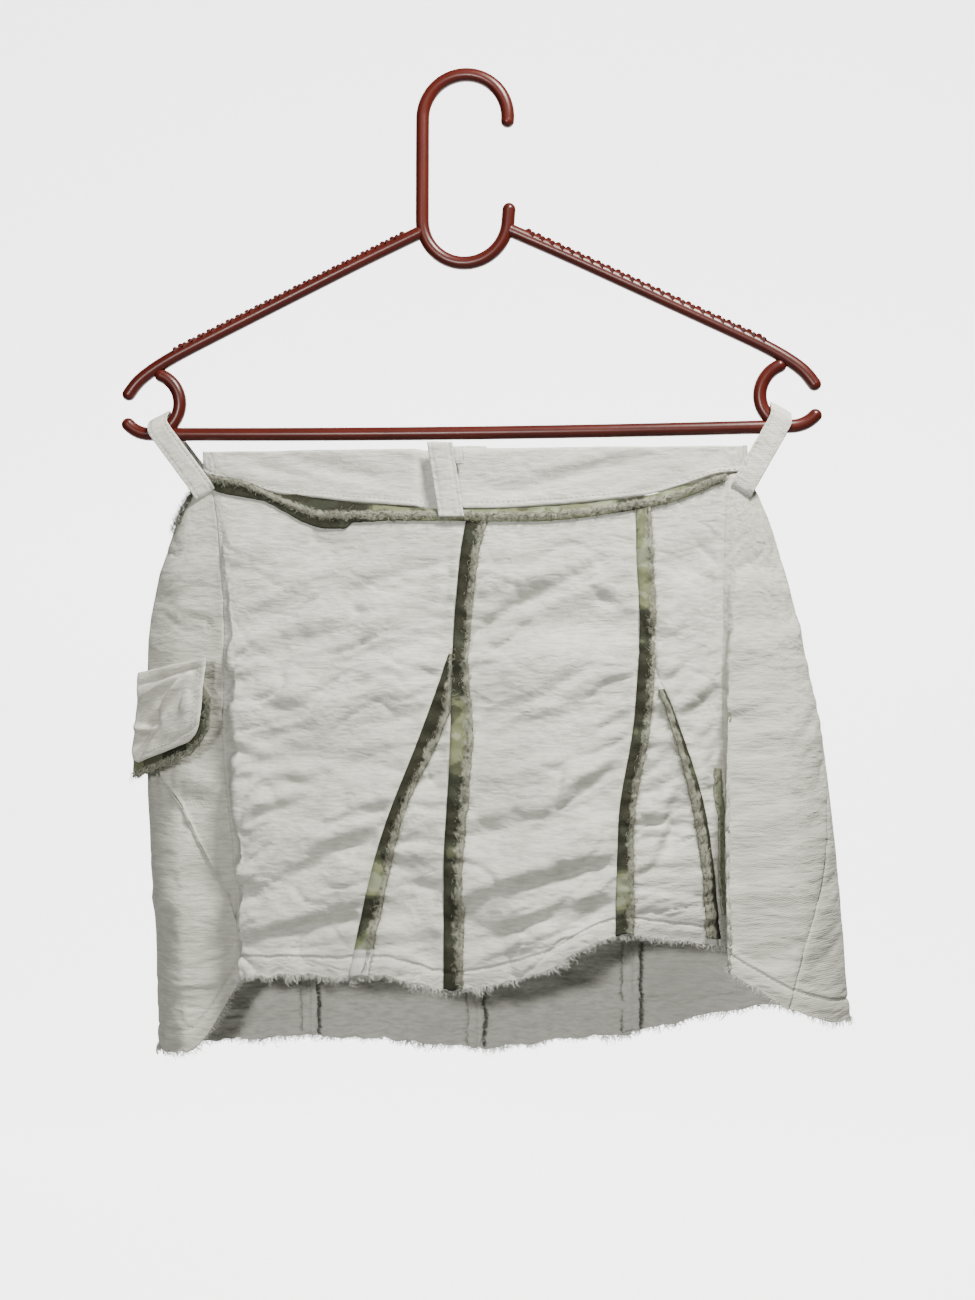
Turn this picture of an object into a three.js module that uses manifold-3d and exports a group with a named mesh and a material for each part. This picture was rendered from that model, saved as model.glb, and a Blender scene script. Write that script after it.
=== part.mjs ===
// White twill panelled skirt hung by its side belt loops from a one-piece plastic hanger.
// Millimetres, +Z up, the front of the skirt toward -Y. The origin is the inside top of the hook.
import * as THREE from 'three';
import Module from 'manifold-3d';

const wasm = await Module();
wasm.setup();

// ---- Cloth ----
const twill = 1.0;            // one layer as it hangs
const seamGap = 0.3;          // kept on each side of a sewn joint
const layGap = 0.4;           // between a piece and the one it lies on
const stripThick = 0.8;       // frayed seam allowance
const bandThick = 1.8;        // waistband, two layers
const loopThick = 1.3;        // belt loop, folded
const loopWide = 13.5;

// ---- Hanger ----
const rod = 4;                // radius of the moulded rod
const hookRadius = 25.3;      // centreline of the hook
const neckDrop = 60.3;        // straight left side of the hook
const neckRadius = 25.5;      // lower U, its right arm ends in a round knob
const ringX = 190.4;          // end ring centre
const ringZ = -187.5;
const ringRadius = 18.2;
const barZ = ringZ - ringRadius;
const barSag = 1.6;

// ---- Skirt ----
const flatWaist = 323;        // width of the waist seam, laid flat
const hangLength = 362;       // centre back, from the band's top to the hem
const bandDrop = 5.7;         // the band's top below the bottom rod
const bandTop = barZ - barSag - rod - bandDrop;
const loopRoom = 2.6;         // between the rod and a side loop
const loopInset = 6.2;        // a side loop sits this far inward of the ring's middle
const archRise = 3.4;         // height of the side loop's arch centre above the rod's
const levels = [0, 0.1, 0.3, 0.5, 0.75, 1];
// Plan of the skirt at the six levels from the waist seam to the hem, one row per fold or seam,
// going left side, front, right side, back. top and hem are depths below the band's top.
const plan = [
  { at: 'left', x: [-158, -177, -193, -194, -190, -187], y: [1, 2, 4, 5, 7, 8], top: 14, hem: 357 },
  { at: 'leftSide', x: [-157, -167, -172, -170, -166, -162], y: [-3, -7, -9, -11, -20, -22], top: 13.5, hem: 355 },
  { at: 'leftFold', x: [-152, -147, -143, -143, -137, -133], y: [-5, -9, -12, -13, -12, -12], top: 16, hem: 315 },
  { at: 'leftRidge', x: [-147, -142, -137, -132, -128.5, -127], y: [-6, -11, -18, -26, -33, -38], top: 18, hem: 306 },
  { at: 'frontLeft', x: [-100, -98, -96, -94, -92, -90], y: [-8, -13, -20, -28, -36, -42], top: 28, hem: 305 },
  { at: 'godetLeft', x: [-50, -48, -46, -44, -42, -40], y: [-9, -14, -22, -31, -40, -46], top: 33.5, hem: 303 },
  { at: 'centreLeft', x: [4, 2, -1, -3, -5, -4], y: [-9, -13, -20, -29, -38, -42], top: 36.5, hem: 312 },
  { at: 'centre', x: [56, 54, 52, 50, 48, 48], y: [-9, -14, -22, -32, -43, -50], top: 34.5, hem: 299 },
  { at: 'centreRight', x: [106, 106, 107, 105, 98, 94], y: [-8, -12, -18, -26, -34, -39], top: 29, hem: 279 },
  { at: 'frontRight', x: [130, 129, 129, 127, 124, 122], y: [-7, -11, -16, -23, -30, -33], top: 23, hem: 283 },
  { at: 'rightEdge', x: [148, 147, 146, 145, 147, 149], y: [-6, -10, -14, -17, -19, -21], top: 17.5, hem: 288 },
  { at: 'rightFold', x: [154, 152, 151, 150, 154, 158], y: [-5, -8, -11, -13, -11, -8], top: 16.5, hem: 292 },
  { at: 'rightRidge', x: [159, 159, 157, 153, 151.5, 153], y: [-4.5, -9, -16, -24, -36, -43], top: 16, hem: 297 },
  { at: 'rightSide', x: [163, 169, 180, 187, 189, 189], y: [-3, -7, -12, -20, -31, -37], top: 16, hem: 320 },
  { at: 'right', x: [165, 179, 196.5, 209, 218, 224], y: [1, 2, 3, 4, 6, 8], top: 15, hem: 333 },
  { at: 'backRightSide', x: [161, 169, 180, 187, 190, 190], y: [5, 8, 13, 19, 25, 28], top: 19, hem: 329 },
  { at: 'backRight', x: [108, 106, 103, 100, 98, 97], y: [8, 12, 18, 25, 32, 36], top: 27, hem: 349 },
  { at: 'backMidRight', x: [54, 53, 52, 51, 50, 50], y: [9, 13, 20, 28, 37, 43], top: 29, hem: 356 },
  { at: 'backCentre', x: [2, 2, 2, 2, 2, 2], y: [9, 14, 21, 30, 39, 45], top: 30, hem: 362 },
  { at: 'backMidLeft', x: [-50, -50, -50, -50, -50, -50], y: [9, 13, 20, 28, 37, 42], top: 29, hem: 358 },
  { at: 'backLeft', x: [-100, -100, -100, -100, -100, -100], y: [8, 12, 18, 25, 33, 37], top: 27, hem: 355 },
  { at: 'backLeftSide', x: [-153, -160, -167, -166, -160, -155], y: [5, 8, 12, 17, 24, 27], top: 19, hem: 357 },
];
// Sewn lines on the front, their distance to the right of the hanger's middle at the six levels.
const centreLeftSeam = [3, -1, -4.6, -5, -7.5, -7];
const centreRightSeam = [101, 101.5, 103.5, 101, 92, 90.5];
const courses = 14;           // rows of a front panel; the godets begin on the fourth
const godetFrom = 4 / courses;
const leftGodet = { x: [-6.2, -15, -24, -46.5, -61], v: [godetFrom, 0.4, 0.5, 0.75, 1] };
const rightGodet = { x: [105, 114, 122.5, 142, 149], v: [godetFrom, 0.42, 0.5, 0.75, 1] };
const leftDiagonal = [0.48, 0.57, 0.87];      // level of the left side's slanting seam
const rightGoreFrom = 0.52;                   // level where the right side's gore begins

// ---- Waist closing and zip ----
const overlapX = -20;         // visible end of the upper waistband half
const underlapX = 13;         // hidden end of the lower half
const underlapDrop = 4.7;     // room for the hook and bar between the halves
const zipDrop = 43;           // top of the zip below the band's top
const zipTop = new THREE.Vector3(2, -3.9, bandTop - zipDrop);
const zipLength = 118;
const zipTilt = { x: 0.052, y: 0.142 };
const pullPin = { y: 3.0, z: -4.8 };   // where the pull turns under the slider's arch

// ---------------------------------------------------------------- curves
function slopes(t, p, loop) {
  const n = p.length;
  const d = [];
  for (let i = 0; i < n - 1; i += 1) d.push((p[i + 1] - p[i]) / (t[i + 1] - t[i]));
  const out = [];
  for (let i = 0; i < n; i += 1) {
    const first = i === 0;
    const last = i === n - 1;
    if (!loop && first) { out.push(d[0]); continue; }
    if (!loop && last) { out.push(d[n - 2]); continue; }
    const a = first ? d[n - 2] : d[i - 1];
    const b = last ? d[0] : d[i];
    out.push(a * b <= 0 ? 0 : (2 * a * b) / (a + b));
  }
  return out;
}

function hermite(t, p, m, at) {
  let i = 0;
  while (i < t.length - 2 && at > t[i + 1]) i += 1;
  const h = t[i + 1] - t[i];
  const s = Math.min(1, Math.max(0, (at - t[i]) / h));
  const s2 = s * s;
  const s3 = s2 * s;
  return p[i] * (2 * s3 - 3 * s2 + 1) + p[i + 1] * (3 * s2 - 2 * s3)
    + h * (m[i] * (s3 - 2 * s2 + s) + m[i + 1] * (s3 - s2));
}

const along = (t, p) => { const m = slopes(t, p, false); return (at) => hermite(t, p, m, at); };

// ---------------------------------------------------------------- the skirt's outer face
// u runs round the skirt in millimetres of the mean plan, v from the waist seam (0) to the hem (1).
const grow = { x: flatWaist / 323, z: hangLength / 362 };
const knots = [0];
for (let i = 0; i < plan.length; i += 1) {
  const a = plan[i];
  const b = plan[(i + 1) % plan.length];
  let sum = 0;
  for (let k = 0; k < levels.length; k += 1) {
    sum += Math.hypot((b.x[k] - a.x[k]) * grow.x, b.y[k] - a.y[k]);
  }
  knots.push(knots[i] + sum / levels.length);
}
const round = knots[knots.length - 1];
const colX = plan.map((row) => along(levels, row.x.map((x) => x * grow.x)));
const colY = plan.map((row) => along(levels, row.y));
const knotOf = (at) => knots[plan.findIndex((row) => row.at === at)];
const cache = new Map();

function ringAt(v) {
  const key = v.toFixed(5);
  if (!cache.has(key)) {
    const close = (list) => [...list, list[0]];
    const x = close(colX.map((f) => f(v)));
    const y = close(colY.map((f) => f(v)));
    cache.set(key, { x, y, mx: slopes(knots, x, true), my: slopes(knots, y, true) });
  }
  return cache.get(key);
}

const tops = [...plan, plan[0]].map((row) => bandTop - row.top);
const hems = [...plan, plan[0]].map((row) => bandTop - row.top - (row.hem - row.top) * grow.z);
const topSlopes = slopes(knots, tops, true);
const hemSlopes = slopes(knots, hems, true);
const wrap = (u) => ((u % round) + round) % round;
const topAt = (u) => hermite(knots, tops, topSlopes, wrap(u));
const hemAt = (u) => hermite(knots, hems, hemSlopes, wrap(u));

function plane(u, v) {
  const r = ringAt(v);
  const w = wrap(u);
  return [hermite(knots, r.x, r.mx, w), hermite(knots, r.y, r.my, w)];
}

// A point of the outer face, moved outward by off; height overrides z where a piece leaves the face.
function face(u, v, off = 0, height = null) {
  const vv = Math.min(1, Math.max(0, v));
  const [x, y] = plane(u, vv);
  const [xa, ya] = plane(u - 1.5, vv);
  const [xb, yb] = plane(u + 1.5, vv);
  const len = Math.hypot(xb - xa, yb - ya) || 1;
  const z = height ?? topAt(u) + vv * (hemAt(u) - topAt(u));
  return new THREE.Vector3(x + (off * (yb - ya)) / len, y - (off * (xb - xa)) / len, z);
}

// u of the front where the face stands at x.
function uAtX(x, v, from = 'leftFold', to = 'rightFold') {
  let a = knotOf(from);
  let b = knotOf(to);
  for (let i = 0; i < 40; i += 1) {
    const m = (a + b) / 2;
    if (plane(m, v)[0] < x) a = m; else b = m;
  }
  return (a + b) / 2;
}

// ---------------------------------------------------------------- solids
function signedVolume(p, t) {
  let sum = 0;
  for (let i = 0; i < t.length; i += 3) {
    const [a, b, c] = [t[i] * 3, t[i + 1] * 3, t[i + 2] * 3];
    sum += p[a] * (p[b + 1] * p[c + 2] - p[b + 2] * p[c + 1])
      - p[a + 1] * (p[b] * p[c + 2] - p[b + 2] * p[c])
      + p[a + 2] * (p[b] * p[c + 1] - p[b + 1] * p[c]);
  }
  return sum / 6;
}

// A closed body from points and triangles, turned so that its faces point out.
function solid(name, positions, triangles, colour, roughness, metalness = 0) {
  const flip = signedVolume(positions, triangles) < 0;
  const indices = flip ? triangles.slice().reverse() : triangles;
  const geometry = new THREE.BufferGeometry();
  geometry.setAttribute('position', new THREE.Float32BufferAttribute(positions, 3));
  geometry.setIndex(indices);
  geometry.computeVertexNormals();
  return named(name, geometry, colour, roughness, metalness);
}

function named(name, geometry, colour, roughness, metalness = 0) {
  const material = new THREE.MeshStandardMaterial({ color: colour, roughness, metalness });
  material.name = name;
  const mesh = new THREE.Mesh(geometry, material);
  mesh.name = name;
  return mesh;
}

// A closed sheet between two grids of points of the same size; outer is the face turned outward.
function shell(name, outer, inner, colour, roughness, metalness) {
  const nr = outer.length;
  const nc = outer[0].length;
  const positions = [...outer.flat(), ...inner.flat()].flatMap((p) => [p.x, p.y, p.z]);
  const half = nr * nc;
  const id = (r, c, side) => side * half + r * nc + c;
  const indices = [];
  const quad = (a, b, c, d) => indices.push(a, b, c, a, c, d);
  for (let r = 0; r < nr - 1; r += 1) {
    for (let c = 0; c < nc - 1; c += 1) {
      quad(id(r, c, 0), id(r + 1, c, 0), id(r + 1, c + 1, 0), id(r, c + 1, 0));
      quad(id(r, c, 1), id(r, c + 1, 1), id(r + 1, c + 1, 1), id(r + 1, c, 1));
    }
  }
  for (let r = 0; r < nr - 1; r += 1) {
    quad(id(r, 0, 0), id(r, 0, 1), id(r + 1, 0, 1), id(r + 1, 0, 0));
    quad(id(r, nc - 1, 0), id(r + 1, nc - 1, 0), id(r + 1, nc - 1, 1), id(r, nc - 1, 1));
  }
  for (let c = 0; c < nc - 1; c += 1) {
    quad(id(0, c, 0), id(0, c + 1, 0), id(0, c + 1, 1), id(0, c, 1));
    quad(id(nr - 1, c, 0), id(nr - 1, c, 1), id(nr - 1, c + 1, 1), id(nr - 1, c + 1, 0));
  }
  return solid(name, positions, indices, colour, roughness, metalness);
}

// A piece cut from the skirt's face. map(a, b) gives [u, v] for a across and b down, both 0..1.
function cut(name, map, nu, nv, { off = 0, thick = twill, colour = 0xe1e0da, height = null } = {}) {
  const grid = (o) => {
    const list = [];
    for (let r = 0; r <= nv; r += 1) {
      const line = [];
      for (let c = 0; c <= nu; c += 1) {
        const [u, v] = map(c / nu, r / nv);
        const lift = typeof off === 'function' ? off(u, r / nv) : off;
        line.push(face(u, v, lift + o, height ? height(u, r / nv) : null));
      }
      list.push(line);
    }
    return list;
  };
  return shell(name, grid(0), grid(-thick), colour, 0.9);
}

// A flat ribbon along a path; wide is the half width vector at each point.
function ribbon(name, path, wide, thick, colour, roughness = 0.9, metalness = 0) {
  const grid = [[], [], [], []];
  path.forEach((p, i) => {
    const w = wide[i];
    const t = path[Math.min(i + 1, path.length - 1)].clone().sub(path[Math.max(i - 1, 0)]);
    const n = t.clone().cross(w).normalize().multiplyScalar(thick / 2);
    grid[0].push(p.clone().sub(w).add(n));
    grid[1].push(p.clone().add(w).add(n));
    grid[2].push(p.clone().sub(w).sub(n));
    grid[3].push(p.clone().add(w).sub(n));
  });
  return shell(name, [grid[0], grid[1]], [grid[2], grid[3]], colour, roughness, metalness);
}

const P = (x, y, z) => new THREE.Vector3(x, y, z);

// ---------------------------------------------------------------- manifold bodies
function toManifold(geometry) {
  const source = geometry.index ? geometry.toNonIndexed() : geometry;
  const pos = source.getAttribute('position');
  const seen = new Map();
  const verts = [];
  const tris = [];
  for (let i = 0; i < pos.count; i += 1) {
    const key = [pos.getX(i), pos.getY(i), pos.getZ(i)].map((c) => c.toFixed(4)).join();
    if (!seen.has(key)) {
      seen.set(key, verts.length / 3);
      verts.push(pos.getX(i), pos.getY(i), pos.getZ(i));
    }
    tris.push(seen.get(key));
  }
  const keep = [];
  for (let i = 0; i < tris.length; i += 3) {
    const [a, b, c] = tris.slice(i, i + 3);
    if (a !== b && b !== c && a !== c) keep.push(a, b, c);
  }
  return new wasm.Manifold(new wasm.Mesh({
    numProp: 3, vertProperties: Float32Array.from(verts), triVerts: Uint32Array.from(keep),
  }));
}

function fromManifold(name, body, colour, roughness, metalness = 0) {
  const mesh = body.getMesh();
  return solid(name, Array.from(mesh.vertProperties), Array.from(mesh.triVerts), colour, roughness, metalness);
}

// Points of an arc in the hanger's plane, angles in degrees from +X toward +Z.
function arc(cx, cz, r, from, to, n) {
  const list = [];
  for (let i = 0; i <= n; i += 1) {
    const a = THREE.MathUtils.degToRad(from + ((to - from) * i) / n);
    list.push(P(cx + r * Math.cos(a), 0, cz + r * Math.sin(a)));
  }
  return list;
}

function rodAlong(points, steps, radius = rod) {
  const shape = new THREE.Shape();
  shape.absarc(0, 0, radius, 0, Math.PI * 2, false);
  const extrudePath = new THREE.CatmullRomCurve3(points, false, 'centripetal');
  return toManifold(new THREE.ExtrudeGeometry(shape, { steps, curveSegments: 6, bevelEnabled: false, extrudePath }));
}

function ballAt(p, radius = rod * 0.995) {
  const ball = new THREE.SphereGeometry(radius, 12, 8);
  ball.translate(p.x, p.y, p.z);
  return toManifold(ball);
}

function slab(w, d, h, x = 0, y = 0, z = 0) {
  return toManifold(new THREE.BoxGeometry(w, d, h).translate(x, y, z));
}

const unite = (bodies) => bodies.slice(1).reduce((all, one) => all.add(one), bodies[0]);

// ---------------------------------------------------------------- hanger
const hookCentre = P(0, 0, rod - hookRadius);
const neckZ = hookCentre.z - neckDrop;

function hookRod() {
  const points = [
    ...arc(0, hookCentre.z, hookRadius, -6, 180, 16),
    P(-hookRadius - 0.1, 0, hookCentre.z - neckDrop / 2),
    ...arc(0, neckZ, neckRadius, 180, 360, 14),
    P(neckRadius + 0.3, 0, neckZ + 3),
    P(neckRadius + 0.5, 0, neckZ + 5.5),
  ];
  return rodAlong(points, 60).add(ballAt(points[points.length - 1]));
}

function shoulderPoints(side) {
  return [[27, -88.5], [60, -103.5], [110, -127.5], [160, -151.5], [177, -160], [189, -167.2],
    [198, -174], [203.5, -181.5]].map(([x, z]) => P(side * x, 0, z));
}

function shoulderRod(side) {
  const points = shoulderPoints(side);
  return rodAlong(points, 26).add(ballAt(points[points.length - 1]));
}

function ringRod(side) {
  const points = arc(0, ringZ, ringRadius, 112, 318, 18).map((p) => P(side * (ringX + p.x), 0, p.z));
  return rodAlong(points, 22).add(ballAt(points[points.length - 1]));
}

function bottomRod() {
  const points = [-1, -0.5, 0, 0.5, 1].map((k) => P(k * ringX, 0, barZ - barSag * (1 - k * k)));
  return rodAlong(points, 8);
}

// Small four-sided grips along the shoulders, one row each side of the crest.
function gripStuds(side) {
  const from = P(side * 38, 0, -93.2);
  const to = P(side * 172, 0, -157.5);
  const run = to.clone().sub(from);
  const count = 22;
  const studs = [];
  const up = P(-run.z * side, 0, run.x * side).normalize();
  for (let i = 0; i < count; i += 1) {
    for (const row of [-1, 1]) {
      const stud = new THREE.OctahedronGeometry(1, 0);
      stud.scale(2.1, 1.7, 1.5);
      stud.rotateY(Math.atan2(-run.z, run.x));
      const at = from.clone().addScaledVector(run, i / (count - 1)).addScaledVector(up, 2.75);
      stud.translate(at.x, row * 2.45, at.z);
      studs.push(toManifold(stud));
    }
  }
  return unite(studs);
}

function hanger() {
  const sides = [-1, 1].flatMap((s) => [shoulderRod(s), ringRod(s)]);
  const body = unite([hookRod(), bottomRod(), ...sides]);
  return fromManifold('hanger', unite([body, gripStuds(-1), gripStuds(1)]), 0x6e2d23, 0.25);
}

// ---------------------------------------------------------------- panels
const g = seamGap;
const spread = (list) => list.map((x) => x * grow.x);
const clSeam = along(levels, spread(centreLeftSeam));
const crSeam = along(levels, spread(centreRightSeam));
const glSeam = along(leftGodet.v, spread(leftGodet.x));
const grSeam = along(rightGodet.v, spread(rightGodet.x));
const uCL = (v) => uAtX(clSeam(v), v);
const uCR = (v) => uAtX(crSeam(v), v);
const uGL = (v) => (v < godetFrom - 1e-6 ? uCL(v) : Math.min(uAtX(glSeam(v), v), uCL(v)));
const uGR = (v) => (v < godetFrom - 1e-6 ? uCR(v) : Math.max(uAtX(grSeam(v), v), uCR(v)));
const at = (name) => knotOf(name);
const between = (u0, u1) => (a, b) => [u0(b) + (u1(b) - u0(b)) * a, b];
const held = (u) => () => u;

// A triangular insert whose point is at level from.
function insert(u0, u1, from) {
  return (a, b) => {
    const v = from + (1 - from) * b;
    return [u0(v) + (u1(v) - u0(v)) * a, v];
  };
}

function widen(u0, u1, least) {
  const mid = (v) => (u0(v) + u1(v)) / 2;
  const half = (v) => Math.max((u1(v) - u0(v)) / 2, least / 2);
  return [(v) => mid(v) - half(v), (v) => mid(v) + half(v)];
}

function frontPanels() {
  const leftOf = (v) => Math.min(uCL(v), uGL(v)) - g;
  const rightOf = (v) => Math.max(uCR(v), uGR(v)) + g;
  return [
    cut('front_left_panel', between(held(at('leftFold') + g), leftOf), 11, courses),
    cut('front_centre_panel', between((v) => uCL(v) + g, (v) => uCR(v) - g), 9, courses),
    cut('front_right_panel', between(rightOf, held(at('rightFold') - g)), 6, courses),
    cut('front_left_godet', insert((v) => uGL(v) + g, (v) => uCL(v) - g, godetFrom), 4, courses - 4),
    cut('front_right_godet', insert((v) => uCR(v) + g, (v) => uGR(v) - g, godetFrom), 5, courses - 4),
  ];
}

const diagonal = along([at('left'), at('leftSide'), at('leftFold')], leftDiagonal);
const goreEdge = (v) => {
  const k = Math.max(0, (v - rightGoreFrom) / (1 - rightGoreFrom));
  return at('right') - (at('right') - at('rightSide') + 2) * k;
};

function sidePanels() {
  const u0 = at('left') + g;
  const u1 = at('leftFold') - g;
  const across = (a) => u0 + (u1 - u0) * a;
  const upper = (a, b) => [across(a), b * (diagonal(across(a)) - 0.002)];
  const lower = (a, b) => {
    const v0 = diagonal(across(a)) + 0.002;
    return [across(a), v0 + b * (1 - v0)];
  };
  return [
    cut('side_left_panel', upper, 7, 9),
    cut('side_left_lower_panel', lower, 7, 7),
    cut('side_right_panel', between(held(at('rightFold') + 3 * g), (v) => goreEdge(v) - g), 9, 12),
    cut('side_right_gore', insert((v) => goreEdge(v) + g, held(at('right') - g), rightGoreFrom + 0.02), 5, 7),
  ];
}

function backPanels() {
  const spans = [['back_right_panel', 'right', 'backRight', 9], ['back_centre_right_panel', 'backRight', 'backCentre', 6],
    ['back_centre_left_panel', 'backCentre', 'backLeft', 6], ['back_left_panel', 'backLeft', 'left', 8]];
  return spans.map(([name, from, to, n]) => {
    const end = to === 'left' ? round : at(to);
    return cut(name, between(held(at(from) + g), held(end - g)), n, 12);
  });
}

// ---------------------------------------------------------------- waistband
const bandEdge = (u) => topAt(u) + 3 * seamGap;

function bandPiece(name, u0, u1, n, off = 0, top = bandTop) {
  const map = (a) => [u0 + (u1 - u0) * a, 0];
  const height = (u, b) => top + (bandEdge(u) - top) * b;
  return cut(name, map, n, 3, { off, thick: bandThick, height, colour: 0xe8e6de });
}

function waistband() {
  const uOver = uAtX(overlapX, 0);
  const uUnder = uAtX(underlapX, 0);
  const step = (u) => -underlapDrop * THREE.MathUtils.smoothstep(u, uOver - 7, uOver - 1.5);
  const endL = at('leftSide');
  const endR = at('rightSide') + 1;
  return [
    bandPiece('waistband_front_left', endL, uUnder, 26, step),
    bandPiece('waistband_front_right', uOver, endR, 20),
    bandPiece('waistband_back', endR + 3 * g, round + endL - 3 * g, 24, 0, bandTop + 0.8),
  ];
}

// Sheet-metal hook under the upper half and the bar it catches on the lower half.
function waistClosing() {
  const [x, y, z] = [overlapX + 16, -9 + bandThick, bandTop - 19];
  const metal = [0xb9b9b4, 0.35, 0.9];
  const hook = [P(x + 9, y + 0.55, z), P(x + 2, y + 0.55, z), P(x - 2.6, y + 0.55, z),
    P(x - 3.9, y + 0.85, z), P(x - 4.1, y + 1.5, z), P(x - 3.7, y + 2.1, z), P(x - 2.4, y + 2.35, z), P(x + 3, y + 2.35, z)];
  const bar = [P(x - 2.6, y + 1.45, z), P(x + 0.4, y + 1.45, z)];
  const wide = (list, w) => list.map(() => P(0, 0, -w));
  return [
    ribbon('waist_hook', hook, wide(hook, 3.5), 0.4, ...metal),
    ribbon('waist_bar', bar, wide(bar, 6.5), 0.6, ...metal),
  ];
}

// ---------------------------------------------------------------- frayed seam allowances
const camo = 0x7a7c5a;
const strip = (name, u0, u1, from, to, nu, nv) => cut(name, (a, b) => {
  const v = from + (to - from) * b;
  return [u0(v) + (u1(v) - u0(v)) * a, v];
}, nu, nv, { off: layGap + stripThick, thick: stripThick, colour: camo });

function seamStrips() {
  const clWide = along([0, 0.1, 0.3, 0.5, 0.75, 1], [12, 9, 8, 12, 9, 10]);
  const crWide = along([0, 0.3, 0.5, 0.75, 1], [8, 9, 8.5, 7.5, 9]);
  const glWide = along([0.3, 0.5, 0.75, 1], [1.2, 9.5, 10.5, 10.5]);
  const grWide = along([0.4, 0.5, 0.75, 1], [1.5, 5, 6, 6]);
  const clStart = (v) => uCL(v) - 0.4;
  const crEnd = (v) => uCR(v) + crWide(v);
  const glFrom = godetFrom + 0.05;
  const glEnd = (v) => Math.min(uGL(v) + glWide(v), clStart(v) - 0.7);
  const grFrom = 0.45;
  const grStart = (v) => Math.max(uGR(v) - grWide(v), crEnd(v) + 0.7);
  const fold = at('rightFold');
  return [
    strip('seam_strip_centre_left', clStart, (v) => uCL(v) + clWide(v), 0.035, 1, 2, 14),
    strip('seam_strip_centre_right', (v) => uCR(v) - 0.4, crEnd, 0.06, 1, 2, 14),
    strip('seam_strip_left_godet', (v) => uGL(v) - 0.4, glEnd, glFrom, 1, 2, 11),
    strip('seam_strip_right_godet', grStart, (v) => Math.max(uGR(v) + 0.4, grStart(v) + 1), grFrom, 0.985, 2, 9),
    strip('seam_strip_right_fold', held(fold - 7.5), held(fold - 3.5), 0.62, 0.93, 2, 6),
  ];
}

// The waist seam allowance: turned up over the band on the left, hanging down on the right.
function waistStrips() {
  const uFrom = at('leftFold') + 3;
  const uTurn = uAtX(-66 * grow.x, 0);
  const uEnd = at('rightFold') - 2;
  const down = (list) => list.map((d) => bandTop - d);
  const front = (list) => list.map((x) => uAtX(x * grow.x, 0));
  const upTop = along([uFrom, ...front([-121, -95]), uTurn], down([11, 17, 26, 33]));
  const upLow = along([uFrom, ...front([-121, -107, -95, -82]), uTurn], down([23, 30, 37, 43.5, 47, 47]));
  const downLow = along([uTurn, ...front([-40, 40, 110]), uEnd], down([44, 43, 44, 36, 21]));
  const piece = (name, u0, u1, n, top, low) => cut(name, (a, b) => {
    const u = u0 + (u1 - u0) * a;
    const z = top(u) + (low(u) - top(u)) * b;
    return [u, Math.max(0, (z - topAt(u)) / (hemAt(u) - topAt(u)))];
  }, n, 3, {
    off: layGap + stripThick, thick: stripThick, colour: camo,
    height: (u, b) => top(u) + (low(u) - top(u)) * b,
  });
  return [
    piece('waist_strip_left', uFrom, uTurn - 0.5, 12, upTop, upLow),
    piece('waist_strip_right', uTurn + 0.5, uEnd, 20, (u) => topAt(u) + 0.2, downLow),
  ];
}

// ---------------------------------------------------------------- belt loops
// Side loop: up the front of the band, over the rod under the end ring, down to the back of the band.
function sideLoop(name, side, foot, footDrop) {
  const top = side * (ringX - loopInset);
  const roundR = rod + loopRoom + loopThick / 2;
  const archZ = barZ + archRise;
  const footZ = bandTop - footDrop;
  const path = [];
  const leg = (k, ySign) => P(foot + (top - foot) * k, ySign * (roundR + 1.5 * (1 - k)), footZ + (archZ - footZ) * k);
  [0, 0.25, 0.5, 0.75, 1].forEach((k) => path.push(leg(k, -1)));
  for (let i = 1; i < 8; i += 1) {
    const a = (Math.PI * i) / 8;
    path.push(P(top, -roundR * Math.cos(a), archZ + roundR * Math.sin(a)));
  }
  [1, 0.75, 0.5, 0.25, 0.05].forEach((k) => path.push(leg(k, 1)));
  const wide = path.map(() => P(0.88 * side, 0, -0.475).multiplyScalar((-side * loopWide) / 2));
  return ribbon(name, path, side > 0 ? wide.map((w) => w.clone().negate()) : wide, loopThick, 0xe6e4dc);
}

// Flat loop on the band, its top folded in; out is -1 at the front and 1 at the back.
function flatLoop(name, x, out, lean, wideMm) {
  const base = 9;
  const steps = [[2.6, 6], [2.9, 2], [4.4, -0.7], [5.9, 2.5], [5.0, 12], [4.2, 26], [4.4, 41]];
  const path = steps.map(([off, drop]) => P(x + lean * drop, out * (base + off), bandTop - drop));
  const wide = path.map(() => P((out * wideMm) / 2, 0, 0));
  return ribbon(name, path, wide, 1.2, 0xe6e4dc);
}

// ---------------------------------------------------------------- zip behind the centre-left seam
const zipFrame = new THREE.Matrix4();
{
  const down = P(-zipTilt.x, -zipTilt.y, -1).normalize();
  const acrossDir = P(1, 0, 0).addScaledVector(down, -down.x).normalize();
  const depth = down.clone().cross(acrossDir).negate().normalize();
  zipFrame.makeBasis(acrossDir, depth, down.clone().negate()).setPosition(zipTop);
}

const placeZip = (mesh) => { mesh.geometry.applyMatrix4(zipFrame); mesh.geometry.computeVertexNormals(); return mesh; };

// In the zip's own frame: x across, y into the skirt, z up, 0 at the top end of the teeth.
const tooth = { wide: 1.2, thick: 1.6, from: 0.7, pitch: 4 };

function zipRow(side) {
  const row = [slab(0.6, 1.0, zipLength, side * (tooth.from + tooth.wide - 0.3), 0, -zipLength / 2)];
  for (let i = 0; i < Math.floor(zipLength / tooth.pitch); i += 1) {
    const shift = side > 0 ? tooth.pitch / 2 : 0;
    row.push(slab(tooth.wide, tooth.thick, 1.6, side * (tooth.from + tooth.wide / 2), 0, -1 - shift - i * tooth.pitch));
  }
  return unite(row);
}

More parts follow.
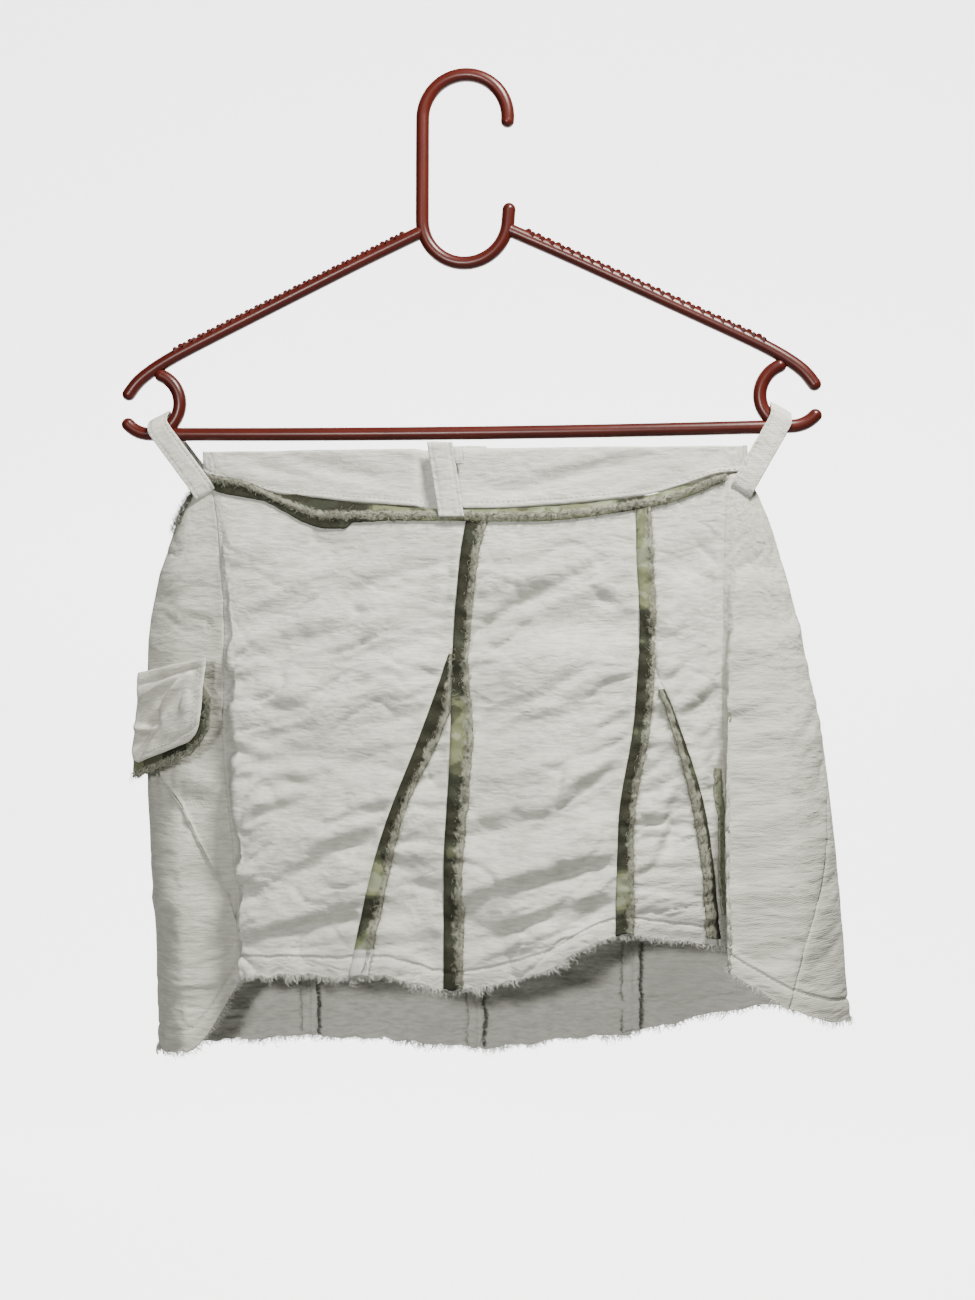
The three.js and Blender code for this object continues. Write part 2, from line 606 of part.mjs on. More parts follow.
function zipTape(side) {
  const wide = 9;
  return slab(wide, 0.6, zipLength + 3, side * (tooth.from + tooth.wide + seamGap + wide / 2), 0, -zipLength / 2);
}

// Two plates joined by a post that runs between the rows, with an arch for the pull.
function zipSlider() {
  const room = tooth.thick / 2 + layGap;
  const plate = (s) => slab(8.6, 1.0, 9.5, 0, s * (room + 0.5), -6);
  const post = slab(0.8, 2 * room + 0.4, 2.4, 0, 0, -3.4);
  const arch = [slab(2.2, 2.6, 1.0, 0, room + 2.1, -3.2), slab(2.2, 2.6, 1.0, 0, room + 2.1, -8.4),
    slab(2.2, 0.8, 6.2, 0, room + 3.0, -5.8)];
  return unite([plate(-1), plate(1), post, ...arch]);
}

function zipPull() {
  return slab(5, 0.9, 16, 0, pullPin.y, -12.2).subtract(slab(3, 4, 5.6, 0, pullPin.y, -8.2));
}

function zip() {
  const stop = slab(3.8, 2.4, 3, 0, 0, -zipLength - 2);
  const steel = [0xb5b2a8, 0.35, 0.9];
  return [
    fromManifold('zip_tape_left', zipTape(-1), 0xdedcd4, 0.9), fromManifold('zip_tape_right', zipTape(1), 0xdedcd4, 0.9),
    fromManifold('zip_teeth_left', zipRow(-1), ...steel), fromManifold('zip_teeth_right', zipRow(1), ...steel),
    fromManifold('zip_stop', stop, ...steel), fromManifold('zip_slider', zipSlider(), ...steel),
    fromManifold('zip_pull', zipPull(), ...steel),
  ].map(placeZip);
}

// ---------------------------------------------------------------- pocket flap on the left side
const flapAt = (x, y, drop) => P(x * grow.x, y, bandTop - 14 - (drop - 14) * grow.z);
const flap = {
  a: flapAt(-197, -1.5, 132), b: flapAt(-148.5, -28, 122.5),
  c: flapAt(-152, -31.5, 169.5), d: flapAt(-201, -6, 188), thick: 1.6,
};

function flapSheet(name, grow, out, thick, colour) {
  const ab = flap.b.clone().sub(flap.a);
  const n = ab.clone().cross(flap.d.clone().sub(flap.a)).normalize().negate();
  const rowsN = 6;
  const colsN = 6;
  const grid = (o) => {
    const list = [];
    for (let r = 0; r <= rowsN; r += 1) {
      const line = [];
      const k = r / rowsN;
      const left = flap.a.clone().lerp(flap.d, k * (1 + grow.low));
      const right = flap.b.clone().lerp(flap.c, k * (1 + grow.low));
      for (let c = 0; c <= colsN; c += 1) {
        const m = grow.left + (c / colsN) * (1 + grow.right - grow.left);
        const p = left.clone().lerp(right, m);
        line.push(p.addScaledVector(n, out + o + 1.2 * Math.sin(Math.PI * k) * Math.sin(Math.PI * (c / colsN))));
      }
      list.push(line);
    }
    return list;
  };
  return shell(name, grid(0), grid(-thick), colour, 0.9);
}

function disc(name, middle, normal, radius, height) {
  const round = new THREE.CylinderGeometry(radius, radius, height, 16);
  round.applyQuaternion(new THREE.Quaternion().setFromUnitVectors(P(0, 1, 0), normal));
  round.translate(middle.x, middle.y, middle.z);
  return fromManifold(name, toManifold(round), 0xc9c7bf, 0.4, 0.8);
}

function snapSocket() {
  const ab = flap.b.clone().sub(flap.a);
  const n = ab.clone().cross(flap.d.clone().sub(flap.a)).normalize().negate();
  const left = flap.a.clone().lerp(flap.d, 0.62);
  const p = left.lerp(flap.b.clone().lerp(flap.c, 0.62), 0.72);
  return disc('pocket_snap_socket', p.addScaledVector(n, -layGap - stripThick - 1.4), n, 5, 1.6);
}

function snapStud() {
  const u = at('leftSide') + 0.45 * (at('leftFold') - at('leftSide'));
  const p = face(u, 0.42, layGap + 0.8);
  const n = p.clone().sub(face(u, 0.42, 0)).normalize();
  return disc('pocket_snap_stud', p, n, 4, 1.6);
}

function pocket() {
  return [
    flapSheet('pocket_flap', { low: 0, left: 0, right: 0 }, flap.thick, flap.thick, 0xdfddd5),
    flapSheet('pocket_flap_facing', { low: 0.12, left: 0.02, right: 0.1 }, -layGap, stripThick, camo),
    snapSocket(),
    snapStud(),
  ];
}

// ---------------------------------------------------------------- assembly
const group = new THREE.Group();
group.name = 'skirt_on_hanger';
group.add(hanger());
group.add(...frontPanels(), ...sidePanels(), ...backPanels());
group.add(...waistband(), ...waistClosing());
group.add(...seamStrips(), ...waistStrips());
const foot = { left: -155.6 * grow.x, right: 162.5 * grow.x, drop: 23 };
group.add(sideLoop('belt_loop_left', -1, foot.left, foot.drop));
group.add(sideLoop('belt_loop_right', 1, foot.right, foot.drop + 0.5));
group.add(flatLoop('belt_loop_front', -13, -1, 0.16, 15), flatLoop('belt_loop_back', 4, 1, 0, 15));
group.add(...zip(), ...pocket());

export default group;
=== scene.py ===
import math
import bpy
import numpy as np
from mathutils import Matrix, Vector


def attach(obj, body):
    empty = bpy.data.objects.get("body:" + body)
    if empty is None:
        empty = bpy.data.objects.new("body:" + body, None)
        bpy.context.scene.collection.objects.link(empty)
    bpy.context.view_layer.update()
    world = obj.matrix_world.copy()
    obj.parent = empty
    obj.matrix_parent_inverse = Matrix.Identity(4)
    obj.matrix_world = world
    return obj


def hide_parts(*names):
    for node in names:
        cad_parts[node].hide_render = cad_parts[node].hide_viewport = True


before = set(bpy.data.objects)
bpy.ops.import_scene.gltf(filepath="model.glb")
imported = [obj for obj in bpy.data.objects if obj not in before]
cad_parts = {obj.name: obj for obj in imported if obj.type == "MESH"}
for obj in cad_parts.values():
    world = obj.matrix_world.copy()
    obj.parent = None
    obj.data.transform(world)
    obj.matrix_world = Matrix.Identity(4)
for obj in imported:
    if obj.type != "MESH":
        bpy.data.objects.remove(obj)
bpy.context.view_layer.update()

# ------------------------------------------------------------------ floor, light and camera
# A pale studio sweep: a floor well under the hem that curves up into a glowing backdrop. The key
# light hangs in front, above and to the right. A low one in front reaches under the front hem, a
# weak one lights the back, and the camera is level.
FLOOR_Z, SWEEP_Y, SWEEP_R, SWEEP_HALF = -1.05, 2.4, 0.9, 1.7
bend = [(-1.2, FLOOR_Z), (0.7, FLOOR_Z), (SWEEP_Y - SWEEP_R, FLOOR_Z)]
bend += [(SWEEP_Y - SWEEP_R + SWEEP_R * math.sin(t), FLOOR_Z + SWEEP_R * (1 - math.cos(t)))
         for t in np.linspace(0.1, math.pi / 2, 14)]
bend += [(SWEEP_Y, 1.5)]
sweep = bpy.data.meshes.new("floor")
sweep.from_pydata([(x, y, z) for y, z in bend for x in (-SWEEP_HALF, SWEEP_HALF)], [],
                  [(2 * k, 2 * k + 1, 2 * k + 3, 2 * k + 2) for k in range(len(bend) - 1)])
sweep.polygons.foreach_set("use_smooth", np.ones(len(sweep.polygons), bool))
floor = bpy.data.objects.new("floor", sweep)
bpy.context.scene.collection.objects.link(floor)
for name, shade, glow in (("floor_paint", 0.30, 0.0), ("backdrop_paint", 0.9, 3.4)):
    coat = bpy.data.materials.new(name)
    coat.use_nodes = True
    paint = coat.node_tree.nodes["Principled BSDF"]
    paint.inputs["Base Color"].default_value = (shade, shade, shade, 1)
    paint.inputs["Roughness"].default_value = 0.95
    paint.inputs["Emission Color"].default_value = (1, 1, 1, 1)
    paint.inputs["Emission Strength"].default_value = glow
    sweep.materials.append(coat)
for strip in sweep.polygons[1:]:
    strip.material_index = 1

world = bpy.data.worlds.new("pale_room")
world.use_nodes = True
world.node_tree.nodes["Background"].inputs["Color"].default_value = (0.95, 0.97, 1.0, 1)
world.node_tree.nodes["Background"].inputs["Strength"].default_value = 0.05
bpy.context.scene.world = world


def soft_light(name, place, aim, size, watts, tint=(1, 1, 1)):
    lamp = bpy.data.lights.new(name, "AREA")
    lamp.shape = "RECTANGLE"
    lamp.size, lamp.size_y = size
    lamp.energy = watts
    lamp.color = tint
    holder = bpy.data.objects.new(name, lamp)
    holder.location = place
    holder.rotation_euler = (Vector(aim) - Vector(place)).to_track_quat("-Z", "Y").to_euler()
    bpy.context.scene.collection.objects.link(holder)


soft_light("key_light", (0.36, -0.46, 0.50), (0.02, 0, -0.42), (0.26, 0.18), 31, (1, 0.985, 0.90))
soft_light("front_light", (-0.25, -1.45, -0.14), (0.0, 0, -0.42), (0.14, 0.10), 16, (1, 0.995, 0.95))
soft_light("back_light", (-0.9, 1.3, 0.7), (0, 0, -0.3), (0.8, 0.8), 7)

turn, reach, aim = math.radians(6.0), 1.1, Vector((0.0133, 0, -0.3353))
SENSOR, VIEW_WIDE = 36.0, 0.0005893 * 975        # mm, and metres across the view at the skirt
lens = bpy.data.cameras.new("view_lens")
lens.sensor_fit = "HORIZONTAL"
lens.sensor_width = SENSOR
lens.lens = SENSOR * reach / VIEW_WIDE
camera = bpy.data.objects.new("view_camera", lens)
camera.location = aim + reach * Vector((math.sin(turn), -math.cos(turn), 0))
camera.rotation_euler = (math.pi / 2, 0, turn)
bpy.context.scene.collection.objects.link(camera)
bpy.context.scene.camera = camera

# ------------------------------------------------------------------ hanger
# One moulding in red-brown gloss plastic: round rods 8 mm thick for the hook, the shoulders, the
# end rings and the bottom bar, with rows of small grips along both crests of each shoulder.
ROD, HOOK_R, NECK_R, NECK_DROP = 4.0, 25.3, 25.5, 60.3
RING_X, RING_Z, RING_R, BAR_SAG = 190.4, -187.5, 18.2, 1.6
BAR_Z = RING_Z - RING_R


def material(name, colour, rough, metal=0.0, **sockets):
    made = bpy.data.materials.new(name)
    made.use_nodes = True
    shader = made.node_tree.nodes["Principled BSDF"]
    shader.inputs["Base Color"].default_value = (*colour, 1)
    shader.inputs["Roughness"].default_value = rough
    shader.inputs["Metallic"].default_value = metal
    for socket, value in sockets.items():
        shader.inputs[socket.replace("_", " ")].default_value = value
    return made, made.node_tree, shader


def node(tree, kind, **values):
    made = tree.nodes.new(kind)
    for key, value in values.items():
        if key in made.inputs:
            made.inputs[key].default_value = value
        else:
            setattr(made, key, value)
    return made


def wired_noise(tree, vector, scale, detail=3.0, rough=0.5):
    made = node(tree, "ShaderNodeTexNoise", Scale=scale, Detail=detail, Roughness=rough)
    tree.links.new(vector, made.inputs["Vector"])
    return made


def ramp(tree, source, stops):
    made = tree.nodes.new("ShaderNodeValToRGB")
    while len(made.color_ramp.elements) < len(stops):
        made.color_ramp.elements.new(0.5)
    for element, (place, shade) in zip(made.color_ramp.elements, stops):
        element.position = place
        element.color = (*shade, 1) if hasattr(shade, "__len__") else (shade, shade, shade, 1)
    tree.links.new(source, made.inputs["Fac"])
    return made


def bump(tree, shader, height, strength, distance, under=None):
    made = node(tree, "ShaderNodeBump", Strength=strength, Distance=distance)
    tree.links.new(height, made.inputs["Height"])
    if under:
        tree.links.new(under.outputs["Normal"], made.inputs["Normal"])
    tree.links.new(made.outputs["Normal"], shader.inputs["Normal"])
    return made


def plastic_finish():
    made, tree, shader = material("red_brown_plastic", (0.055, 0.0070, 0.0044), 0.34, Coat_Weight=0.06,
                                  Coat_Roughness=0.2, Specular_IOR_Level=0.3)
    place = tree.nodes.new("ShaderNodeTexCoord").outputs["Object"]
    cloud = wired_noise(tree, place, 26, 4)
    tint = ramp(tree, cloud.outputs["Fac"], [(0.3, (0.044, 0.0054, 0.0034)), (0.7, (0.066, 0.0088, 0.0054))])
    tree.links.new(tint.outputs["Color"], shader.inputs["Base Color"])
    scuff = wired_noise(tree, place, 340, 5, 0.65)
    gloss = ramp(tree, scuff.outputs["Fac"], [(0.35, 0.31), (0.75, 0.37)])
    tree.links.new(gloss.outputs["Color"], shader.inputs["Roughness"])
    flow = wired_noise(tree, place, 60, 2)
    bump(tree, shader, flow.outputs["Fac"], 0.06, 0.0008)
    return made


def arc(cx, cz, r, start, end, n):
    turns = np.radians(np.linspace(start, end, n + 1))
    return [(cx + r * math.cos(a), cz + r * math.sin(a)) for a in turns]


def rod_along(points, thick=ROD):
    """A round rod along points (x, z) in mm, its ends domed."""
    bpy.ops.object.select_all(action="DESELECT")
    bpy.ops.curve.primitive_nurbs_path_add(location=(0, 0, 0))
    path = bpy.context.object
    path.data.splines.clear()
    spline = path.data.splines.new("POLY")
    spline.points.add(len(points) - 1)
    for knot, (x, z) in zip(spline.points, points):
        knot.co = (x / 1000, 0, z / 1000, 1)
    path.data.bevel_depth = thick / 1000
    path.data.bevel_resolution = 6
    path.data.use_fill_caps = True
    bpy.ops.object.convert(target="MESH")
    parts = [bpy.context.object]
    for x, z in (points[0], points[-1]):
        bpy.ops.mesh.primitive_uv_sphere_add(segments=24, ring_count=12, radius=thick * 0.998 / 1000,
                                             location=(x / 1000, 0, z / 1000), rotation=(math.pi / 2, 0, 0))
        parts.append(bpy.context.object)
    return parts


def eased(points):
    """The same path with its corners cut, three times over."""
    p = np.array(points, float)
    for _ in range(3):
        q = np.empty((2 * len(p), p.shape[1]))
        q[0], q[-1] = p[0], p[-1]
        q[1:-1:2] = 0.75 * p[:-1] + 0.25 * p[1:]
        q[2:-1:2] = 0.25 * p[:-1] + 0.75 * p[1:]
        p = q
    return p


def resample(points, step=2.0):
    """The same path with a point about every step millimetres, its corners eased."""
    p = eased(points)
    run = np.r_[0, np.cumsum(np.hypot(*np.diff(p, axis=0).T))]
    at = np.linspace(0, run[-1], max(2, int(run[-1] / step)))
    return list(zip(np.interp(at, run, p[:, 0]), np.interp(at, run, p[:, 1])))


def gather(name, parts):
    """Join the parts into one object at the origin."""
    bpy.ops.object.select_all(action="DESELECT")
    for part in parts:
        part.select_set(True)
    bpy.context.view_layer.objects.active = parts[0]
    bpy.ops.object.join()
    made = bpy.context.object
    bpy.ops.object.transform_apply(location=True, rotation=True, scale=True)
    made.name = made.data.name = name
    return made


def fasten(piece, cad=None, body="skirt"):
    """Ride the piece on its body; it may stand for a CAD node."""
    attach(piece, body)
    if cad:
        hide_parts(cad)


hook_z = ROD - HOOK_R
neck_z = hook_z - NECK_DROP
parts = rod_along(resample(arc(0, hook_z, HOOK_R, -6, 180, 30) + arc(0, neck_z, NECK_R, 180, 360, 30)
                           + [(NECK_R + 0.3, neck_z + 3), (NECK_R + 0.5, neck_z + 5.5)]))
crest = [(27, -88.5), (60, -103.5), (110, -127.5), (160, -151.5), (177, -160), (189, -167.2), (198, -174),
         (203.5, -181.5)]
for side in (-1, 1):
    parts += rod_along(resample([(side * x, z) for x, z in crest]))
    ring = arc(0, RING_Z, RING_R, 112, 318, 30)
    parts += rod_along([(side * (RING_X + x), z) for x, z in ring])
parts += rod_along([(k * RING_X, BAR_Z - BAR_SAG * (1 - k * k)) for k in np.linspace(-1, 1, 60)])

# the grips: low four-sided points, modelled once and copied along each crest
bpy.ops.object.select_all(action="DESELECT")
bpy.ops.mesh.primitive_cone_add(vertices=4, radius1=0.0030, radius2=0.0010, depth=0.0026, location=(0, 0, 0))
grip = bpy.context.object
start, end = np.array([36.0, -92.6]), np.array([176.0, -159.4])
slope = math.atan2(end[1] - start[1], end[0] - start[0])
GRIPS, GRIP_LEAN = 24, math.radians(44)
for side in (-1, 1):
    for row in (-1, 0, 1):
        for k in range(GRIPS):
            x, z = start + (end - start) * (k + (0.5 if row else 0)) / GRIPS
            lean = GRIP_LEAN * row
            out = Vector((math.sin(-slope) * math.cos(lean), math.sin(lean),
                          math.cos(slope) * math.cos(lean)))
            stud = grip.copy()
            stud.data = grip.data.copy()
            bpy.context.scene.collection.objects.link(stud)
            out.x *= side
            stud.location = Vector((side * x, 0, z)) / 1000 + out * (ROD + 0.1) / 1000
            stud.rotation_euler = out.to_track_quat("Z", "X").to_euler()
            parts.append(stud)
bpy.data.objects.remove(grip)
hanger = gather("hanger_moulding", parts)
bpy.ops.object.shade_smooth_by_angle(angle=math.radians(40))
hanger.data.materials.clear()
hanger.data.materials.append(plastic_finish())
fasten(hanger, "hanger", "hanger")

# ------------------------------------------------------------------ front panels
# Five pieces of white cotton twill, sewn edge to edge with the allowances turned outward: a left,
# a centre and a right panel with a triangular godet let in beside each seam of the centre panel.
BAND_TOP = -217.0
LEVELS = np.array([0, 0.1, 0.3, 0.5, 0.75, 1])
PLAN = (
    ("left", (-158, -177, -193, -194, -190, -187), (1, 2, 4, 5, 7, 8), 14, 357),
    ("leftSide", (-157, -167, -172, -170, -166, -162), (-3, -7, -9, -11, -20, -22), 13.5, 355),
    ("leftFold", (-152, -147, -143, -143, -137, -133), (-5, -9, -12, -13, -12, -12), 16, 315),
    ("leftRidge", (-147, -142, -137, -132, -128.5, -127), (-6, -11, -18, -26, -33, -38), 18, 306),
    ("frontLeft", (-100, -98, -96, -94, -92, -90), (-8, -13, -20, -28, -36, -42), 28, 305),
    ("godetLeft", (-50, -48, -46, -44, -42, -40), (-9, -14, -22, -31, -40, -46), 33.5, 303),
    ("centreLeft", (4, 2, -1, -3, -5, -4), (-9, -13, -20, -29, -38, -42), 36.5, 312),
    ("centre", (56, 54, 52, 50, 48, 48), (-9, -14, -22, -32, -43, -50), 34.5, 299),
    ("centreRight", (106, 106, 107, 105, 98, 94), (-8, -12, -18, -26, -34, -39), 29, 279),
    ("frontRight", (130, 129, 129, 127, 124, 122), (-7, -11, -16, -23, -30, -33), 23, 283),
    ("rightEdge", (148, 147, 146, 145, 147, 149), (-6, -10, -14, -17, -19, -21), 17.5, 288),
    ("rightFold", (154, 152, 151, 150, 154, 158), (-5, -8, -11, -13, -11, -8), 16.5, 292),
    ("rightRidge", (159, 159, 157, 153, 151.5, 153), (-4.5, -9, -16, -24, -36, -43), 16, 297),
    ("rightSide", (163, 169, 180, 187, 189, 189), (-3, -7, -12, -20, -31, -37), 16, 320),
    ("right", (165, 179, 196.5, 209, 218, 224), (1, 2, 3, 4, 6, 8), 15, 333),
    ("backRightSide", (161, 169, 180, 187, 190, 190), (5, 8, 13, 19, 25, 28), 19, 329),
    ("backRight", (108, 106, 103, 100, 98, 97), (8, 12, 18, 25, 32, 36), 27, 349),
    ("backMidRight", (54, 53, 52, 51, 50, 50), (9, 13, 20, 28, 37, 43), 29, 356),
    ("backCentre", (2, 2, 2, 2, 2, 2), (9, 14, 21, 30, 39, 45), 30, 362),
    ("backMidLeft", (-50, -50, -50, -50, -50, -50), (9, 13, 20, 28, 37, 42), 29, 358),
    ("backLeft", (-100, -100, -100, -100, -100, -100), (8, 12, 18, 25, 33, 37), 27, 355),
    ("backLeftSide", (-153, -160, -167, -166, -160, -155), (5, 8, 12, 17, 24, 27), 19, 357),
)


def slopes(t, p, loop=False):
    d = np.diff(p, axis=-1) / np.diff(t)
    a = np.concatenate([d[..., -1:], d], axis=-1)
    b = np.concatenate([d, d[..., :1]], axis=-1)
    both = np.where(a * b <= 0, 0, 2 * a * b / np.where(a * b <= 0, 1, a + b))
    if not loop:
        both[..., 0], both[..., -1] = d[..., 0], d[..., -1]
    return both


def hermite(t, p, m, at):
    i = np.clip(np.searchsorted(t, at) - 1, 0, len(t) - 2)
    h = t[i + 1] - t[i]
    s = np.clip((at - t[i]) / h, 0, 1)
    if p.ndim == 1:
        pa, pb, ma, mb = p[i], p[i + 1], m[i], m[i + 1]
    else:
        r = np.arange(len(at))
        pa, pb, ma, mb = p[r, i], p[r, i + 1], m[r, i], m[r, i + 1]
    s2, s3 = s * s, s ** 3
    rise = ma * (s3 - 2 * s2 + s) + mb * (s3 - s2)
    return pa * (2 * s3 - 3 * s2 + 1) + pb * (3 * s2 - 2 * s3) + h * rise


def along(t, p):
    t, p = np.array(t, float), np.array(p, float)
    m = slopes(t, p)
    return lambda at: hermite(t, p, m, np.atleast_1d(np.asarray(at, float)))


plan_x = np.array([row[1] for row in PLAN], float)
plan_y = np.array([row[2] for row in PLAN], float)
gaps = np.hypot(*(np.roll(a, -1, axis=0) - a for a in (plan_x, plan_y))).mean(axis=1)
KNOTS = np.r_[0, np.cumsum(gaps)]
ROUND = KNOTS[-1]
COLUMN_X = [along(LEVELS, row) for row in plan_x]
COLUMN_Y = [along(LEVELS, row) for row in plan_y]
tops = BAND_TOP - np.array([row[3] for row in PLAN] + [PLAN[0][3]], float)
hems = BAND_TOP - np.array([row[4] for row in PLAN] + [PLAN[0][4]], float)
top_slopes, hem_slopes = slopes(KNOTS, tops, True), slopes(KNOTS, hems, True)


def u_of(name):
    return KNOTS[[row[0] for row in PLAN].index(name)]


def plan_at(u, v):
    v = np.clip(v, 0, 1)
    found = []
    for columns in (COLUMN_X, COLUMN_Y):
        p = np.stack([f(v) for f in columns], axis=1)
        p = np.concatenate([p, p[:, :1]], axis=1)
        found.append(hermite(KNOTS, p, slopes(KNOTS, p, True), np.mod(u, ROUND)))
    return found


def top_at(u):
    return hermite(KNOTS, tops, top_slopes, np.mod(u, ROUND))


def hem_at(u):
    return hermite(KNOTS, hems, hem_slopes, np.mod(u, ROUND))


def unit(rows):
    return rows / np.linalg.norm(rows, axis=-1, keepdims=True)


def face(u, v, height=None):
    """Points of the skirt's outer face and their outward normals; u runs round it, v goes down it."""
    u, v = np.broadcast_arrays(np.asarray(u, float), np.asarray(v, float))
    shape = u.shape
    u, v = u.ravel(), v.ravel()

    def spot(uu, vv):
        x, y = plan_at(uu, vv)
        top = top_at(uu)
        return np.stack([x, y, top + vv * (hem_at(uu) - top)], axis=1)

    middle = spot(u, v)
    across = spot(u + 1.5, v) - spot(u - 1.5, v)
    down = spot(u, np.minimum(v + 0.004, 1)) - spot(u, np.maximum(v - 0.004, 0))
    normal = np.cross(down, across)
    normal = unit(normal)
    if height is not None:
        middle[:, 2] = np.broadcast_to(height, shape).ravel()
    return middle.reshape(*shape, 3), normal.reshape(*shape, 3)


def u_at_x(x, v):
    """u of the place on the front that has this x, between its two folds."""
    x, v = np.broadcast_arrays(np.asarray(x, float), np.asarray(v, float))
    a = np.full(x.shape, u_of("leftFold"))
    b = np.full(x.shape, u_of("rightFold"))
    for _ in range(22):
        m = (a + b) / 2
        low = plan_at(m.ravel(), v.ravel())[0].reshape(x.shape) < x
        a, b = np.where(low, m, a), np.where(low, b, m)
    return (a + b) / 2


def seam(levels, xs, least=0.0):
    """u of a sewn line given its x at some levels, as a quick function of v."""
    v = np.linspace(least, 1, 160)
    u = u_at_x(along(levels, xs)(v), v)
    return lambda at: np.interp(at, v, u)


GODET_FROM = 4 / 14
u_cl = seam(LEVELS, (3, -1, -4.6, -5, -7.5, -7))
u_cr = seam(LEVELS, (101, 101.5, 103.5, 101, 92, 90.5))
godet_left = seam((GODET_FROM, 0.4, 0.5, 0.75, 1), (-5.2, -15, -24, -46.5, -61), GODET_FROM)
godet_right = seam((GODET_FROM, 0.42, 0.5, 0.75, 1), (104, 114, 122.5, 142, 149), GODET_FROM)


def u_gl(v):
    return np.where(v < GODET_FROM, u_cl(v), np.minimum(godet_left(v), u_cl(v)))


def u_gr(v):
    return np.where(v < GODET_FROM, u_cr(v), np.maximum(godet_right(v), u_cr(v)))


def ripple(a, b, seed):
    """Smooth noise of two coordinates, about -0.7 to 0.7, the same each run."""
    ia, ib = np.floor(a).astype(np.int64), np.floor(b).astype(np.int64)
    fa, fb = a - ia, b - ib

    def corner(da, db):
        h = ((ia + da) * 374761393 + (ib + db) * 668265263 + seed * 974634777) & 0xFFFFFFFF
        h = ((h ^ (h >> 13)) * 1274126177) & 0xFFFFFFFF
        angle = (h ^ (h >> 16)) / 2 ** 32 * 2 * np.pi
        return np.cos(angle) * (fa - da) + np.sin(angle) * (fb - db)

    wa, wb = (t * t * t * (t * (6 * t - 15) + 10) for t in (fa, fb))
    low = corner(0, 0) * (1 - wa) + corner(1, 0) * wa
    high = corner(0, 1) * (1 - wa) + corner(1, 1) * wa
    return low * (1 - wb) + high * wb


# Drag folds seen on the front: x, z, slant in degrees, half length, half width, height in mm.
FOLDS = (
    (41, -305, 31, 40, 4.6, -3.6), (36, -318, 30, 36, 9.0, 2.2), (72, -290, 42, 12, 3.5, -1.8),
    (84, -306, -24, 12, 3.5, -1.6),
    (26, -322, 8, 18, 4.0, -1.8), (58, -463, 15, 44, 4.2, -4.6), (56, -447, 20, 46, 11, 3.4),
    (79, -409, 34, 28, 4.0, -3.0),
    (88, -377, 31, 15, 3.0, -1.8), (60, -430, 30, 30, 4.2, -2.4), (30, -400, 26, 34, 6.0, -2.2),
    (20, -437, 18, 26, 5.0, -2.2),
    (62, -352, 30, 22, 4.0, -1.8), (24, -372, 24, 20, 4.5, -1.8), (55, -335, 14, 30, 8.0, 1.8),
    (44, -488, 24, 26, 4.0, -3.0),
    (34, -500, 22, 22, 6.0, 2.6), (80, -480, 26, 22, 4.0, -2.0), (10, -480, 40, 16, 4.0, -2.0),
    (14, -345, 12, 14, 3.0, -1.5),
    (-72, -452, 27, 38, 5.0, -3.6), (-78, -474, 24, 38, 9.0, 3.2), (-96, -496, 15, 30, 4.0, -2.8),
    (-44, -496, 10, 24, 5.0, 2.2),
    (-60, -486, 20, 20, 4.0, -2.4), (-108, -385, 14, 26, 4.6, -2.4), (-60, -400, 18, 38, 6.0, -2.2),
    (-92, -330, 16, 36, 6.0, -2.2),
    (-40, -290, 20, 28, 5.0, -1.9), (-112, -430, 20, 22, 4.0, -2.6), (-8.5, -283, 86, 26, 2.8, -2.0),
    (-60, -354, 12, 30, 5.0, -2.0),
    (-24, -350, 6, 18, 4.0, -1.8), (-120, -300, 30, 22, 5.0, -1.8), (-84, -270, -12, 26, 5.0, -1.6),
    (-30, -445, 6, 14, 3.0, -1.8),
    (-50, -428, 14, 20, 3.4, -2.2), (-100, -412, 8, 18, 4.0, -1.8), (-128, -395, -8, 10, 3.4, -2.6),
    (-127, -410, 10, 10, 3.0, -2.2),
    (124, -430, 78, 24, 5.0, -3.4), (112, -460, 12, 16, 3.0, -1.8), (116, -412, 30, 13, 3.0, -1.8),
    (120, -444, 58, 18, 3.6, -2.0),
    (120, -300, 80, 34, 6.0, 1.6), (128, -268, 60, 20, 4.0, -1.6), (-20, -410, 12, 14, 3.2, -1.8),
    (-22, -470, -10, 14, 3.2, -1.8),
)


def creases(p):
    x, z = p[..., 0], p[..., 2]
    total = np.zeros(x.shape)
    for cx, cz, slant, half, wide, high in FOLDS:
        c, s = math.cos(math.radians(slant)), math.sin(math.radians(slant))
        run = ((x - cx) * c + (z - cz) * s) / half
        off = ((z - cz) * c - (x - cx) * s) / wide + 0.35 * run * run
        off = off + 0.5 * ripple(x / 13, z / 13, 7)
        across = np.exp(-off * off) - 0.5 * np.exp(-((off - 1.7) / 1.2) ** 2)
        total += 1.3 * high * np.exp(-1.3 * run * run) * across
    return total


